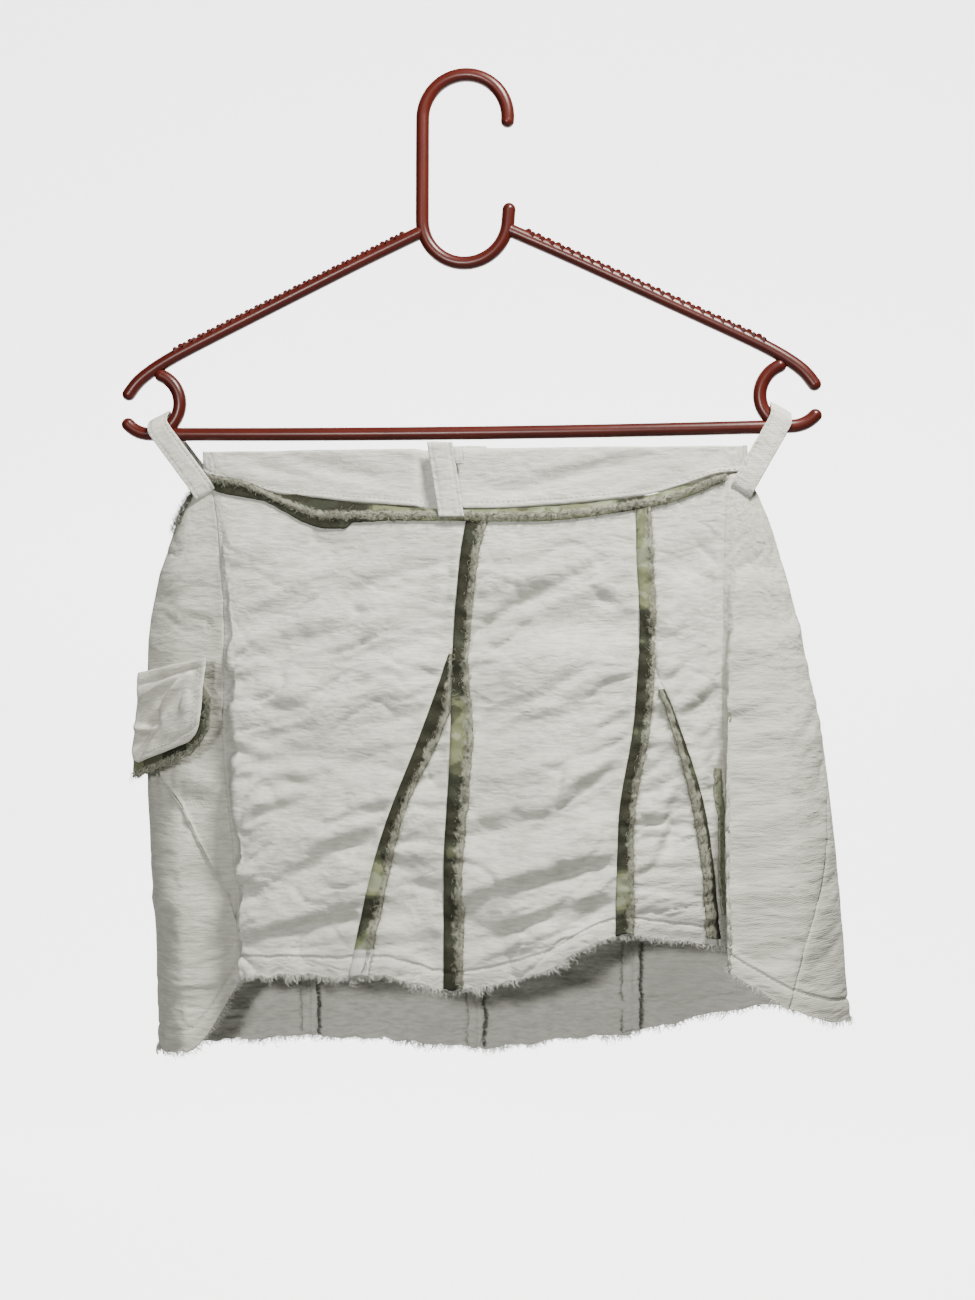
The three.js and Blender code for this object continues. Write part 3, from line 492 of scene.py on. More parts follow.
def crumple(u, z, calm=1.0, seed=3, slant=24):
    """Slack folds of worn cotton: broad soft waves parted by crisp valleys that rise to the right."""
    uu = u + 15 * ripple(u / 47, z / 39, seed + 20) + 2 * ripple(u / 15, z / 13, seed + 22)
    zz = z + 13 * ripple(u / 43, z / 35, seed + 21) + 2 * ripple(u / 14, z / 16, seed + 23)
    total = 3.2 * ripple(uu / 66, zz / 44, seed)
    for tilt, share, much in ((slant, 0, 1.0), (-14, 8, 0.4)):
        c, d = math.cos(math.radians(tilt)), math.sin(math.radians(tilt))
        a, b = uu * c + zz * d, zz * c - uu * d
        patch = np.clip(0.45 + 1.9 * ripple(u / 46 + share, z / 38, seed + 6), 0.05, 1.3)
        waves = 3.4 * ripple(a / 70, b / 19, seed + 1 + share)
        pleats = (3.4 * np.abs(ripple(a / 56, b / 17, seed + 2 + share))
                  + 1.0 * np.abs(ripple(a / 34, b / 8.5, seed + 3 + share)))
        small = (0.5 * ripple(a / 19, b / 5.2, seed + 4 + share)
                 + 0.22 * ripple(a / 9, b / 3.0, seed + 12 + share))
        line = np.clip(1 - np.abs(ripple(a / 58, b / 21, seed + 5 + share)) / 0.10, 0, 1) ** 1.5
        total = total + much * (waves + patch * (pleats - 1.7 * line + 0.6 * small) + 0.4 * small)
    return 1.75 * calm * (total - 1.2)


def weave_group():
    """Twill ribs about a millimetre apart, slubs and flecks, for every cloth here."""
    group = bpy.data.node_groups.new("twill_weave", "ShaderNodeTree")
    group.interface.new_socket("Vector", in_out="INPUT", socket_type="NodeSocketVector")
    for name in ("Rib", "Slub", "Fleck", "Crinkle", "Crease"):
        group.interface.new_socket(name, in_out="OUTPUT", socket_type="NodeSocketFloat")
    way_in = group.nodes.new("NodeGroupInput").outputs["Vector"]
    way_out = group.nodes.new("NodeGroupOutput")
    slant = node(group, "ShaderNodeMapping")
    slant.inputs["Rotation"].default_value = (0, 0, math.radians(63))
    group.links.new(way_in, slant.inputs["Vector"])
    rib = node(group, "ShaderNodeTexWave", Scale=330, Distortion=1.6, Detail=2)
    group.links.new(slant.outputs["Vector"], rib.inputs["Vector"])
    stretch = node(group, "ShaderNodeMapping")
    stretch.inputs["Scale"].default_value = (0.55, 1, 1)
    group.links.new(way_in, stretch.inputs["Vector"])
    thread = node(group, "ShaderNodeMapping")
    thread.inputs["Scale"].default_value = (0.20, 1, 1)
    group.links.new(way_in, thread.inputs["Vector"])
    slub = wired_noise(group, thread.outputs["Vector"], 620, 3, 0.6)
    fleck = wired_noise(group, way_in, 1300, 2, 0.6)
    crinkle = wired_noise(group, stretch.outputs["Vector"], 240, 4, 0.55)
    lean = node(group, "ShaderNodeMapping")
    lean.inputs["Rotation"].default_value = (0, 0, math.radians(16))
    lean.inputs["Scale"].default_value = (0.42, 1, 1)
    group.links.new(way_in, lean.inputs["Vector"])
    swell = wired_noise(group, lean.outputs["Vector"], 58, 4, 0.6)
    valley = ramp(group, swell.outputs["Fac"], [(0.30, 0.75), (0.43, 1.0), (0.495, 0.0), (0.56, 0.9),
                                                (0.70, 0.7)])
    for made, name in ((rib, "Rib"), (slub, "Slub"), (fleck, "Fleck"), (crinkle, "Crinkle")):
        group.links.new(made.outputs["Fac"], way_out.inputs[name])
    group.links.new(valley.outputs["Color"], way_out.inputs["Crease"])
    return group


WEAVE = weave_group()


def woven(tree):
    """The weave's outputs, laid along the cloth's own map."""
    uv = tree.nodes.new("ShaderNodeUVMap")
    uv.uv_map = "cloth"
    weave = tree.nodes.new("ShaderNodeGroup")
    weave.node_tree = WEAVE
    tree.links.new(uv.outputs["UV"], weave.inputs["Vector"])
    return uv, weave


def mix(tree, fac, a, b):
    made = node(tree, "ShaderNodeMix", data_type="RGBA")
    for value, socket in ((fac, made.inputs[0]), (a, made.inputs[6]), (b, made.inputs[7])):
        if isinstance(value, bpy.types.NodeSocket):
            tree.links.new(value, socket)
        elif hasattr(value, "__len__"):
            socket.default_value = (*value, 1)
        else:
            socket.default_value = value
    return made.outputs[2]


def white_cloth(name, clean, worn, seed=0.0, creased_by=0.26):
    made, tree, shader = material(name, clean, 0.88, Sheen_Weight=0.05, Sheen_Roughness=0.6,
                                  Specular_IOR_Level=0.15)
    uv, weave = woven(tree)
    shift = node(tree, "ShaderNodeMapping")
    shift.inputs["Location"].default_value = (seed, seed * 0.7, 0)
    tree.links.new(uv.outputs["UV"], shift.inputs["Vector"])
    patch = wired_noise(tree, shift.outputs["Vector"], 14, 5, 0.6)
    mask = ramp(tree, patch.outputs["Fac"], [(0.35, 0.0), (0.72, 1.0)])
    base = mix(tree, mask.outputs["Color"], clean, worn)
    fleck = ramp(tree, weave.outputs["Fleck"], [(0.22, 0.55), (0.36, 0.0)])
    base = mix(tree, fleck.outputs["Color"], base, tuple(0.72 * c for c in worn))
    ribs = ramp(tree, weave.outputs["Rib"], [(0.0, 0.12), (0.6, 0.0)])
    base = mix(tree, ribs.outputs["Color"], base, tuple(0.8 * c for c in clean))
    yarn = ramp(tree, weave.outputs["Slub"], [(0.34, 0.75), (0.56, 0.0)])
    base = mix(tree, yarn.outputs["Color"], base, tuple(0.80 * c for c in worn))
    # Painted shade: the base colour darkens toward the worn tone in the valleys of the fine crinkle that the
    # bump below raises from the same noise.
    crinkle_valley_shade = ramp(tree, weave.outputs["Crinkle"], [(0.32, 0.55), (0.52, 0.0)])
    base = mix(tree, crinkle_valley_shade.outputs["Color"], base, tuple(0.82 * c for c in worn))
    tree.links.new(base, shader.inputs["Base Color"])
    dry = ramp(tree, weave.outputs["Slub"], [(0.2, 0.78), (0.8, 0.95)])
    tree.links.new(dry.outputs["Color"], shader.inputs["Roughness"])
    creased = bump(tree, shader, weave.outputs["Crease"], creased_by, 0.0012)
    first = bump(tree, shader, weave.outputs["Crinkle"], 0.7, 0.0015, creased)
    second = bump(tree, shader, weave.outputs["Rib"], 0.3, 0.00022, first)
    bump(tree, shader, weave.outputs["Slub"], 0.6, 0.0005, second)
    return made


FRONT_CLOTH = white_cloth("white_twill_front", (0.578, 0.572, 0.522), (0.470, 0.468, 0.426), 1.0)


def paint_points(mesh, shade):
    """Give each point its own colour, which the materials read as print."""
    rgba = np.concatenate([shade, np.ones((len(shade), 1))], axis=1)
    layer = mesh.color_attributes.new("print", "FLOAT_COLOR", "POINT")
    layer.data.foreach_set("color", rgba.astype(np.float32).ravel())


def stand(name, mesh, finish):
    """Smooth the mesh, give it its finish and put it in the scene."""
    mesh.polygons.foreach_set("use_smooth", np.ones(len(mesh.polygons), bool))
    mesh.materials.append(finish)
    made = bpy.data.objects.new(name, mesh)
    bpy.context.scene.collection.objects.link(made)
    return made


def grid_mesh(name, outer, inner, uv, finish, colour=None):
    """A closed sheet between two grids of points in mm, mapped with cloth metres."""
    nr, nc = outer.shape[:2]
    co = np.concatenate([outer.reshape(-1, 3), inner.reshape(-1, 3)]) / 1000
    ids = np.arange(nr * nc).reshape(nr, nc)
    low = ids + nr * nc
    quads = [np.stack([ids[:-1, :-1], ids[1:, :-1], ids[1:, 1:], ids[:-1, 1:]], -1).reshape(-1, 4),
             np.stack([low[:-1, :-1], low[:-1, 1:], low[1:, 1:], low[1:, :-1]], -1).reshape(-1, 4)]
    for a, b in ((ids[:, 0], low[:, 0]), (low[:, -1], ids[:, -1]), (low[0, :], ids[0, :]),
                 (ids[-1, :], low[-1, :])):
        quads.append(np.stack([a[:-1], b[:-1], b[1:], a[1:]], -1))
    faces = np.concatenate(quads)
    mesh = bpy.data.meshes.new(name)
    mesh.from_pydata(co.tolist(), [], faces.tolist())
    layer = mesh.uv_layers.new(name="cloth")
    spots = np.concatenate([uv.reshape(-1, 2), uv.reshape(-1, 2)])[faces.ravel()] / 1000
    layer.data.foreach_set("uv", spots.astype(np.float32).ravel())
    if colour is not None:
        paint_points(mesh, np.concatenate([colour.reshape(-1, 3)] * 2))
    mesh.validate()
    return stand(name, mesh, finish)


STEP, SPAN = 1.75, 300     # mm between a panel's rows, and about how many mm v covers
HEM_ROW, HEM_WIDE = 0.962, 0.0035      # where the hem's stitches sink in, and how wide the groove is
YARN_ENDS, YARN_TONE = 7.0, (0.60, 0.595, 0.56)     # loose ends to a millimetre of hem
LAYERS = {}     # each panel's wrinkled face, for the strips and threads that lie on it


def fluff(name, root, way, lift, length, thick, shade, seed, finish):
    """Loose yarn ends: each a thin closed thread from its root, bending as it goes."""
    rng = np.random.default_rng(seed)
    n = len(root)
    side = np.cross(way, lift)
    side = unit(side)
    bend = rng.normal(0, 0.34, (n, 2))
    t = np.array([0, 0.3, 0.62, 0.86, 1.0])
    reach = (length[:, None] * t)[..., None]
    wave = np.sin(t[None, :] * 3.0) * bend[:, :1] + t[None, :] ** 2 * bend[:, 1:]
    path = root[:, None] + way[:, None] * reach + side[:, None] * (wave * length[:, None])[..., None]
    path = path + lift[:, None] * (length[:, None] * 0.22 * np.sin(t * 2.6))[..., None]
    rings = []
    for turn in (0.3, 2.4, 4.5):
        spoke = lift * math.cos(turn) + side * math.sin(turn)
        rings.append(path[:, 1:4] + spoke[:, None] * thick[:, None, None])
    ring = np.stack(rings, axis=2)                       # thread, place, corner
    co = np.concatenate([path[:, :1], ring.reshape(n, 9, 3), path[:, 4:]], axis=1)
    faces = []
    for k in range(3):
        m = (k + 1) % 3
        faces.append((0, 1 + m, 1 + k, -1))
        for level in (0, 3):
            faces.append((1 + level + k, 1 + level + m, 4 + level + m, 4 + level + k))
        faces.append((7 + k, 7 + m, 10, -1))
    start = np.arange(n) * 11
    every = [tuple(i + f for f in face if f >= 0) for i in start.tolist() for face in faces]
    mesh = bpy.data.meshes.new(name)
    mesh.from_pydata((co.reshape(-1, 3) / 1000).tolist(), [], every)
    paint_points(mesh, np.repeat(shade, 11, axis=0))
    return stand(name, mesh, finish)


def yarn_finish(name):
    made, tree, shader = material(name, (0.7, 0.7, 0.68), 0.92, Sheen_Weight=0.06, Sheen_Roughness=0.5,
                                  Specular_IOR_Level=0.12)
    tint = node(tree, "ShaderNodeAttribute", attribute_name="print")
    place = tree.nodes.new("ShaderNodeTexCoord").outputs["Object"]
    twist = wired_noise(tree, place, 2600, 2)
    dark = ramp(tree, twist.outputs["Fac"], [(0.3, 0.35), (0.6, 0.0)])
    base = mix(tree, dark.outputs["Color"], tint.outputs["Color"], (0.16, 0.16, 0.14))
    tree.links.new(base, shader.inputs["Base Color"])
    bump(tree, shader, twist.outputs["Fac"], 0.4, 0.0002)
    return made


YARN = yarn_finish("loose_yarn")


def hem_threads(name, over, u0, u1, seed):
    """White yarn ends hanging from a raw edge."""
    rng = np.random.default_rng(seed)
    n = int(abs(u1 - u0) * YARN_ENDS)
    u = rng.uniform(u0 + 0.4, u1 - 0.4, n)
    v = 1 - rng.uniform(0, 0.006, n)
    spot, normal = over(u, v)
    next_spot, _ = over(u + 0.8, v)
    along_edge = next_spot - spot
    along_edge = unit(along_edge)
    down = np.cross(along_edge, normal)
    down *= np.sign(-down[:, 2:3])
    tuft = 0.55 + np.clip(1.5 * ripple(u / 9, u * 0 + 0.5, seed + 2), -0.35, 0.8)
    way = down + along_edge * rng.normal(0, 0.28, n)[:, None] + normal * rng.normal(0.03, 0.16, n)[:, None]
    way = unit(way)
    length = (0.45 + 0.55 * tuft) * rng.gamma(6, 0.60, n).clip(1.0, 7.0)
    shade = np.array(YARN_TONE) * rng.uniform(0.72, 1.08, (n, 1))
    deep = rng.uniform(-0.8, 0.1, n)[:, None]
    made = fluff(name, spot + normal * deep, way, normal, length, rng.uniform(0.11, 0.2, n), shade, seed + 3,
                 YARN)
    fasten(made)
    return made


def stitch_row(name, points, normals, body="skirt", pitch=3.1, long=2.35, wide=0.5, tone=(0.50, 0.49, 0.46)):
    """A line of topstitching: short rounded thread stitches pressed into the cloth."""
    gap = np.linalg.norm(np.diff(points, axis=0), axis=1)
    run = np.r_[0, np.cumsum(gap)]
    at = np.arange(pitch / 2, run[-1] - pitch / 2, pitch)
    p, q = [np.stack([np.interp(at + s, run, points[:, k]) for k in range(3)], 1)
            for s in (-long / 2, long / 2)]
    up = np.stack([np.interp(at, run, normals[:, k]) for k in range(3)], 1)
    up = unit(up)
    way = unit(q - p)
    side = np.cross(up, way)
    verts, faces = [], []
    for i in range(len(at)):
        first = len(verts)
        verts.append(p[i] - up[i] * 0.25)
        for t in (0.22, 0.78):
            mid = p[i] + (q[i] - p[i]) * t + up[i] * 0.16
            for turn in range(5):
                angle = turn * 2 * math.pi / 5
                verts.append(mid + (side[i] * math.cos(angle) + up[i] * math.sin(angle)) * wide / 2)
        verts.append(q[i] - up[i] * 0.25)
        for k in range(5):
            m = (k + 1) % 5
            faces += [(first, first + 1 + m, first + 1 + k),
                      (first + 1 + k, first + 1 + m, first + 6 + m, first + 6 + k),
                      (first + 6 + k, first + 6 + m, first + 11)]
    mesh = bpy.data.meshes.new(name)
    mesh.from_pydata((np.array(verts) / 1000).tolist(), [], faces)
    paint_points(mesh, np.tile(tone, (len(verts), 1)))
    made = stand(name, mesh, YARN)
    fasten(made, body=body)
    return made


def panel(name, cad, u, v, finish, seed, calm=1.0, folds=True, thick=0.9, roll=(1, 1), hem_at_foot=True,
          ridge=None, allowance=False):
    """One cut piece on the skirt's face: u and v are grids; edges roll in at the sewn sides."""
    v_line = v[:, 0]
    low_u, high_u = u[:, 0], u[:, -1]
    straight = np.allclose(v, v[:, :1])

    def over(uu, vv, gap=0.0):
        uu, vv = np.asarray(uu, float), np.asarray(vv, float)
        smooth, normal = face(uu, vv)
        z = smooth[..., 2]
        lift = crumple(uu, z, calm, seed) * np.clip((vv - 0.045) * 9, 0.05, 1)
        if folds:
            lift = lift + creases(smooth) * np.clip((vv - 0.045) * 7, 0, 1)
        a = np.interp(vv, v_line, low_u) if straight else low_u[0]
        b = np.interp(vv, v_line, high_u) if straight else high_u[0]
        for edge, much in ((np.abs(uu - a), roll[0]), (np.abs(b - uu), roll[1])):
            pucker = np.sin(z * 0.58 + 3.4 * ripple(z / 15, uu * 0, seed + 7)) * np.exp(-edge / 9)
            pucker = 0.8 * calm * pucker * (1 - np.exp(-edge / 1.5))
            lift = lift * (1 - 0.85 * np.exp(-(edge / (8 if much < 0.5 else 5)) ** 1.5))
            lift = lift + much * (pucker - 0.9 * np.exp(-(edge / 1.5) ** 2))
        outer = smooth + normal * (lift + gap)[..., None]
        hem = np.clip((vv - 0.93) / 0.07, 0, 1)
        outer -= normal * (0.55 * lift * np.clip((vv - 0.945) / 0.012, 0, 1))[..., None]
        outer[..., 2] += hem * (2.6 * ripple(uu / 13, vv * 0 + 0.3, seed + 9)
                                + 1.4 * ripple(uu / 4.5, vv * 0 + 0.7, seed + 10))
        swell = (1.6 * ripple(uu / 10, vv * 3, seed + 11) - 1.9 * np.exp(-((vv - HEM_ROW) / HEM_WIDE) ** 2)
                 + 0.7 * np.exp(-((vv - 0.978) / 0.010) ** 2))
        outer = outer + normal * (hem * swell)[..., None]
        return outer, normal

    if ridge:
        plain = over

        def over(uu, vv, gap=0.0):
            outer, normal = plain(uu, vv, gap)
            away = (vv - ridge(uu)) * 330
            pleat = (np.sin(uu * 0.75 + vv * 40 + 3 * ripple(uu / 12, vv * 20, seed + 12))
                     * np.exp(-np.abs(away) / 9))
            lift = 1.7 * np.exp(-(away / 2.3) ** 2) + 0.9 * pleat
            return outer + normal * (lift * np.clip((vv - 0.05) * 8, 0, 1))[..., None], normal

    LAYERS[name] = over
    outer, normal = over(u, v)
    smooth, _ = face(u, v)
    made = grid_mesh(name, outer, outer - normal * thick, np.stack([u, -smooth[..., 2]], -1), finish)
    fasten(made, cad)
    trims = []
    if hem_at_foot:
        trims.append(hem_threads(f"{name}_fray", over, low_u[-1], high_u[-1], seed=seed * 7 + 1))
        run = np.linspace(low_u[-1] + 1.5, high_u[-1] - 1.5, 200)
        line, out = over(run, np.full(200, HEM_ROW))
        trims.append(stitch_row(f"{name}_hem_stitches", line, out, wide=0.6, tone=(0.42, 0.41, 0.38)))
    if allowance:
        trims += inner_allowance(name, over, high_u, v_line, thick, seed)


def lattice(left, right, count, start=0.0):
    """Grids of u and v between two sewn lines given as functions of v."""
    foot = 0.935
    v = np.r_[np.linspace(start, foot, int(SPAN * (foot - start) / STEP)), np.linspace(foot, 1, 42)[1:]]
    a, b = left(v), right(v)
    k = np.linspace(0, 1, count)
    return a[:, None] + (b - a)[:, None] * k[None, :], np.repeat(v[:, None], count, axis=1)


def fixed(u):
    return lambda v: np.full(np.shape(v), float(u))


SEW = -0.22
left_edge = lambda v: np.minimum(u_cl(v), u_gl(v)) - SEW
right_edge = lambda v: np.maximum(u_cr(v), u_gr(v)) + SEW
panel("front_left_cloth", "front_left_panel", *lattice(fixed(u_of("leftFold") + SEW), left_edge, 84),
      FRONT_CLOTH, 11, 0.9, roll=(0.3, 1))
panel("front_centre_cloth", "front_centre_panel",
      *lattice(lambda v: u_cl(v) + SEW, lambda v: u_cr(v) - SEW, 58), FRONT_CLOTH, 23, 0.9)
panel("front_right_cloth", "front_right_panel", *lattice(right_edge, fixed(u_of("rightFold") - SEW), 32),
      FRONT_CLOTH, 35, 0.8, roll=(1, 0.3))
panel("front_left_godet_cloth", "front_left_godet",
      *lattice(lambda v: u_gl(v) + SEW, lambda v: u_cl(v) - SEW, 30, GODET_FROM), FRONT_CLOTH, 47, 1.0)
panel("front_right_godet_cloth", "front_right_godet",
      *lattice(lambda v: u_cr(v) + SEW, lambda v: u_gr(v) - SEW, 32, GODET_FROM), FRONT_CLOTH, 59, 1.0)

# ------------------------------------------------------------------ side panels
# The sides are cut from the same twill: the left in two, joined by a raised slanting seam under
# the pocket, the right with a narrow gore let in toward the side seam.
SIDE_CLOTH = white_cloth("white_twill_side", (0.532, 0.525, 0.468), (0.432, 0.428, 0.380), 3.1, 0.20)
diagonal = along((u_of("left"), u_of("leftSide"), u_of("leftFold")), (0.48, 0.57, 0.87))
span = np.linspace(u_of("left") + SEW, u_of("leftFold") - SEW, 40)
down = np.linspace(0, 1, 120)
u_up = np.repeat(span[None, :], 120, axis=0)
v_up = down[:, None] * diagonal(span)[None, :]
panel("side_left_cloth", "side_left_panel", u_up, v_up, SIDE_CLOTH, 71, 0.6, False, roll=(0, 0.6),
      hem_at_foot=False, ridge=diagonal)
v_low = diagonal(span)[None, :] + 0.0012 + down[:, None] * (1 - diagonal(span)[None, :] - 0.0012)
panel("side_left_lower_cloth", "side_left_lower_panel", u_up, v_low, SIDE_CLOTH, 83, 0.6, False,
      roll=(0, 0.6), ridge=diagonal)
GORE_FROM = 0.52


def gore_edge(v):
    k = np.clip((v - GORE_FROM) / (1 - GORE_FROM), 0, 1)
    return u_of("right") - (u_of("right") - u_of("rightSide") + 2) * k


panel("side_right_cloth", "side_right_panel",
      *lattice(fixed(u_of("rightFold") + SEW), lambda v: gore_edge(v) - SEW, 52), SIDE_CLOTH, 95, 0.5, False,
      roll=(0.6, 1))
panel("side_right_gore_cloth", "side_right_gore",
      *lattice(lambda v: gore_edge(v) + SEW, fixed(u_of("right") - SEW), 22, GORE_FROM + 0.012), SIDE_CLOTH,
      107, 0.5, False, roll=(1, 0))

# ------------------------------------------------------------------ back panels
# Four panels of the same twill close the back; their hem hangs lower than the front's, so its
# inner face shows under the front hem.
BACK_CLOTH = white_cloth("white_twill_back", (0.585, 0.580, 0.530), (0.480, 0.476, 0.434), 5.3)


def inner_allowance(name, over, edge_u, v_line, thick, seed):
    """The pressed seam allowance on the inside of a back seam: a narrow strip with overcast edges."""
    v_top, v_foot, half = 0.03, 0.995, 5.2
    v = np.linspace(v_top, v_foot, 280)
    edge = np.interp(v, v_line, edge_u)
    k = np.linspace(-1, 1, 13)[None, :]
    wander = 2.2 * ripple(v * 26, v * 0, seed + 31) + 0.8 * ripple(v * 80, v * 0, seed + 32)
    u = edge[:, None] + half * k + wander[:, None] * np.abs(k)
    base, normal = over(u, np.repeat(v[:, None], 13, axis=1))
    curl = (0.5 * ripple(u / 6, v[:, None] * 40, seed + 33) + 1.3 * np.exp(-(k / 0.10) ** 2)
            - 1.0 * np.abs(k) ** 6)
    near = base - normal * (thick + 0.2)
    far = base - normal * (thick + 1.1 + curl.clip(-0.4, 2))[..., None]
    strip = grid_mesh(f"{name}_allowance", near, far, np.stack([u, v[:, None] * SPAN + 0 * u], -1),
                      BACK_CLOTH)
    fasten(strip)
    rng = np.random.default_rng(seed + 34)
    n = 3600
    vr, side = rng.uniform(v_top, v_foot, n), rng.choice([-1.0, 1.0], n, p=[0.8, 0.2])
    kr = np.where(side < 0, rng.normal(-0.96, 0.05, n), 0.96)
    ur = np.interp(vr, v, edge) + half * kr + np.interp(vr, v, wander) * np.abs(kr)
    spot, out = over(ur, vr)
    beside, _ = over(ur + 0.8, vr)
    across = beside - spot
    across = unit(across)
    down = np.cross(out, across)
    way = (across * (side * rng.uniform(0.2, 1, n))[:, None] + down * rng.normal(0, 0.8, n)[:, None]
           - out * rng.uniform(0, 0.3, n)[:, None])
    way = unit(way)
    shade = np.where(side[:, None] < 0, 0.12, 0.42) * np.array((1, 1, 0.86)) * rng.uniform(0.6, 1.6, (n, 1))
    fray = fluff(f"{name}_overcast", spot - out * (thick + 1.5 + 0.6 * (kr < 0.5))[:, None], way, -out,
                 rng.gamma(4, 0.36, n).clip(0.6, 2.4),
                 rng.uniform(0.12, 0.2, n), shade, seed + 35, YARN)
    fasten(fray)
    return [strip, fray]


for name, start, end, count, seed in (("right", "right", "backRight", 56, 119),
                                      ("centre_right", "backRight", "backCentre", 44, 131),
                                      ("centre_left", "backCentre", "backLeft", 46, 143),
                                      ("left", "backLeft", "left", 46, 155)):
    last = ROUND if end == "left" else u_of(end)
    panel(f"back_{name}_cloth", f"back_{name}_panel",
          *lattice(fixed(u_of(start) + SEW), fixed(last - SEW), count), BACK_CLOTH, seed, 0.75, False,
          roll=(0 if start == "right" else 0.5, 0 if end == "left" else 0.5), allowance=end != "left")

# ------------------------------------------------------------------ waistband
# A doubled straight band of the same twill, warmer where it has been handled. Its front halves
# overlap left of the middle; the lower edge is folded, topstitched and stands just off the seam.
BAND_CLOTH = white_cloth("white_twill_band", (0.606, 0.600, 0.552), (0.528, 0.523, 0.476), 7.7, 0.07)
OVERLAP_X, UNDERLAP_X, UNDERLAP_DROP, BAND_THICK = -20.0, 13.0, 4.7, 1.8
BAND_FOLDS = ((52, -235, 14, 30, 5, -2.2), (62, -228, 16, 34, 5, 1.6), (95, -226, 10, 30, 5, -1.4),
              (20, -240, -8, 22, 5, -1.4),
              (-70, -230, -12, 30, 5, -1.8), (-66, -238, -8, 26, 4, 1.2), (-112, -229, -16, 24, 4, -1.7),
              (110, -243, 18, 20, 4, -1.4))


def foot_of(u):
    """Where the band's edge stands off: over the hanging allowance on the right of the front."""
    return np.clip((u - front_u([-100])[0]) / 12, 0, 1)


def front_u(xs):
    return [float(np.ravel(u_at_x(x, 0.0))[0]) for x in xs]


def band_piece(name, cad, u0, u1, seed, step=None, top=BAND_TOP, lean=0.0):
    u = np.arange(u0, u1, 1.5)
    low = top_at(u) + 0.9
    k = np.r_[0, 0.012, 0.03, np.linspace(0.06, 0.94, 20), 0.97, 0.985, 1][:, None]
    z = top + 0.5 * ripple(u / 40, u * 0 + 0.2, seed) + (low - top) * k
    uu = np.repeat(u[None, :], len(k), axis=0)
    uu = uu + lean * (top - z) * np.exp(-(uu - u0) / 12)
    base, normal = face(uu, uu * 0, z)
    edge = 0.8 * np.exp(-(k / 0.018) ** 2) + 0.8 * np.exp(-((1 - k) / 0.018) ** 2)
    lift = (0.9 * ripple(uu / 34, z / 12, seed + 1) + 0.8 * np.abs(ripple(uu / 22, z / 7, seed + 2))
            + 0.3 * ripple(uu / 8, z / 4, seed + 3))
    for cx, cz, slant, half, wide, high in BAND_FOLDS:
        c, s = math.cos(math.radians(slant)), math.sin(math.radians(slant))
        x = base[..., 0]
        run, off = ((x - cx) * c + (z - cz) * s) / half, ((z - cz) * c - (x - cx) * s) / wide
        lift = lift + (high * np.exp(-run * run - off * off) if seed < 30 else 0)
    lift = lift - 0.5 * np.exp(-((1 - k) * (top - low) / 3.1 - 1) ** 2 / 0.06)
    lift = lift + 1.5 * np.clip((k - 0.7) / 0.3, 0, 1) * foot_of(uu)
    if step is not None:
        lift = lift - UNDERLAP_DROP * step(uu)
    outer = base + normal * (lift - edge)[..., None]
    inner = base + normal * (lift - BAND_THICK + edge)[..., None]
    made = grid_mesh(name, outer, inner, np.stack([uu, -z], -1), BAND_CLOTH)
    fasten(made, cad)
    row = np.argmin(np.abs(k[:, 0] - 0.9))
    trims = [stitch_row(f"{name}_stitches", outer[row, 2:-2], normal[row, 2:-2])]


u_over, u_under = front_u([OVERLAP_X, UNDERLAP_X])


def dip(u):
    k = np.clip((u - (u_over - 7)) / 5.5, 0, 1)
    return k * k * (3 - 2 * k)


band_end = u_of("rightSide") + 1
band_piece("waistband_front_left_cloth", "waistband_front_left", u_of("leftSide"), u_under, 21, dip)
band_piece("waistband_front_right_cloth", "waistband_front_right", u_over, band_end, 25, lean=0.13)
band_piece("waistband_back_cloth", "waistband_back", band_end + 0.9, ROUND + u_of("leftSide") - 0.9, 31, None,
           BAND_TOP + 0.8)

# ------------------------------------------------------------------ waist hook and bar
# A pressed sheet-metal hook inside the upper half of the waistband catches a bar on the lower half.


def metal_finish(name, colour, dull):
    made, tree, shader = material(name, colour, 0.35, 1.0)
    place = tree.nodes.new("ShaderNodeTexCoord").outputs["Object"]
    cloud = wired_noise(tree, place, 420, 4, 0.6)
    tint = ramp(tree, cloud.outputs["Fac"], [(0.3, dull), (0.7, colour)])
    tree.links.new(tint.outputs["Color"], shader.inputs["Base Color"])
    scratch = wired_noise(tree, place, 1900, 3)
    gloss = ramp(tree, scratch.outputs["Fac"], [(0.3, 0.24), (0.7, 0.52)])
    tree.links.new(gloss.outputs["Color"], shader.inputs["Roughness"])
    bump(tree, shader, scratch.outputs["Fac"], 0.25, 0.0001)
    return made


STEEL = metal_finish("nickel_plate", (0.62, 0.61, 0.58), (0.42, 0.41, 0.38))


def dress(finish, *names):
    for name in names:
        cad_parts[name].material_slots[0].material = finish


dress(STEEL, "waist_hook", "waist_bar", "pocket_snap_socket", "pocket_snap_stud")

# ------------------------------------------------------------------ seam allowances on the front
# Every front seam is sewn inside out: a ribbon of camouflage-printed twill shows along it, its
# free edge worn to a pale fringe of loose yarn.
CAMO = np.array([(0.019, 0.019, 0.012), (0.028, 0.031, 0.021), (0.062, 0.066, 0.040), (0.145, 0.158, 0.088),
                 (0.225, 0.24, 0.165)])
FRINGE = np.array([0.25, 0.25, 0.20])


def camo_at(x, z, tone, seed):
    """Blotches of five greens; tone, 0 dark to 1 pale, says which ones are likely."""
    spread = tone + 0.55 * ripple(x / 21, z / 17, seed) + 0.22 * ripple(x / 9, z / 8, seed + 1)
    return CAMO[np.clip((spread * 5).astype(int), 0, 4)]


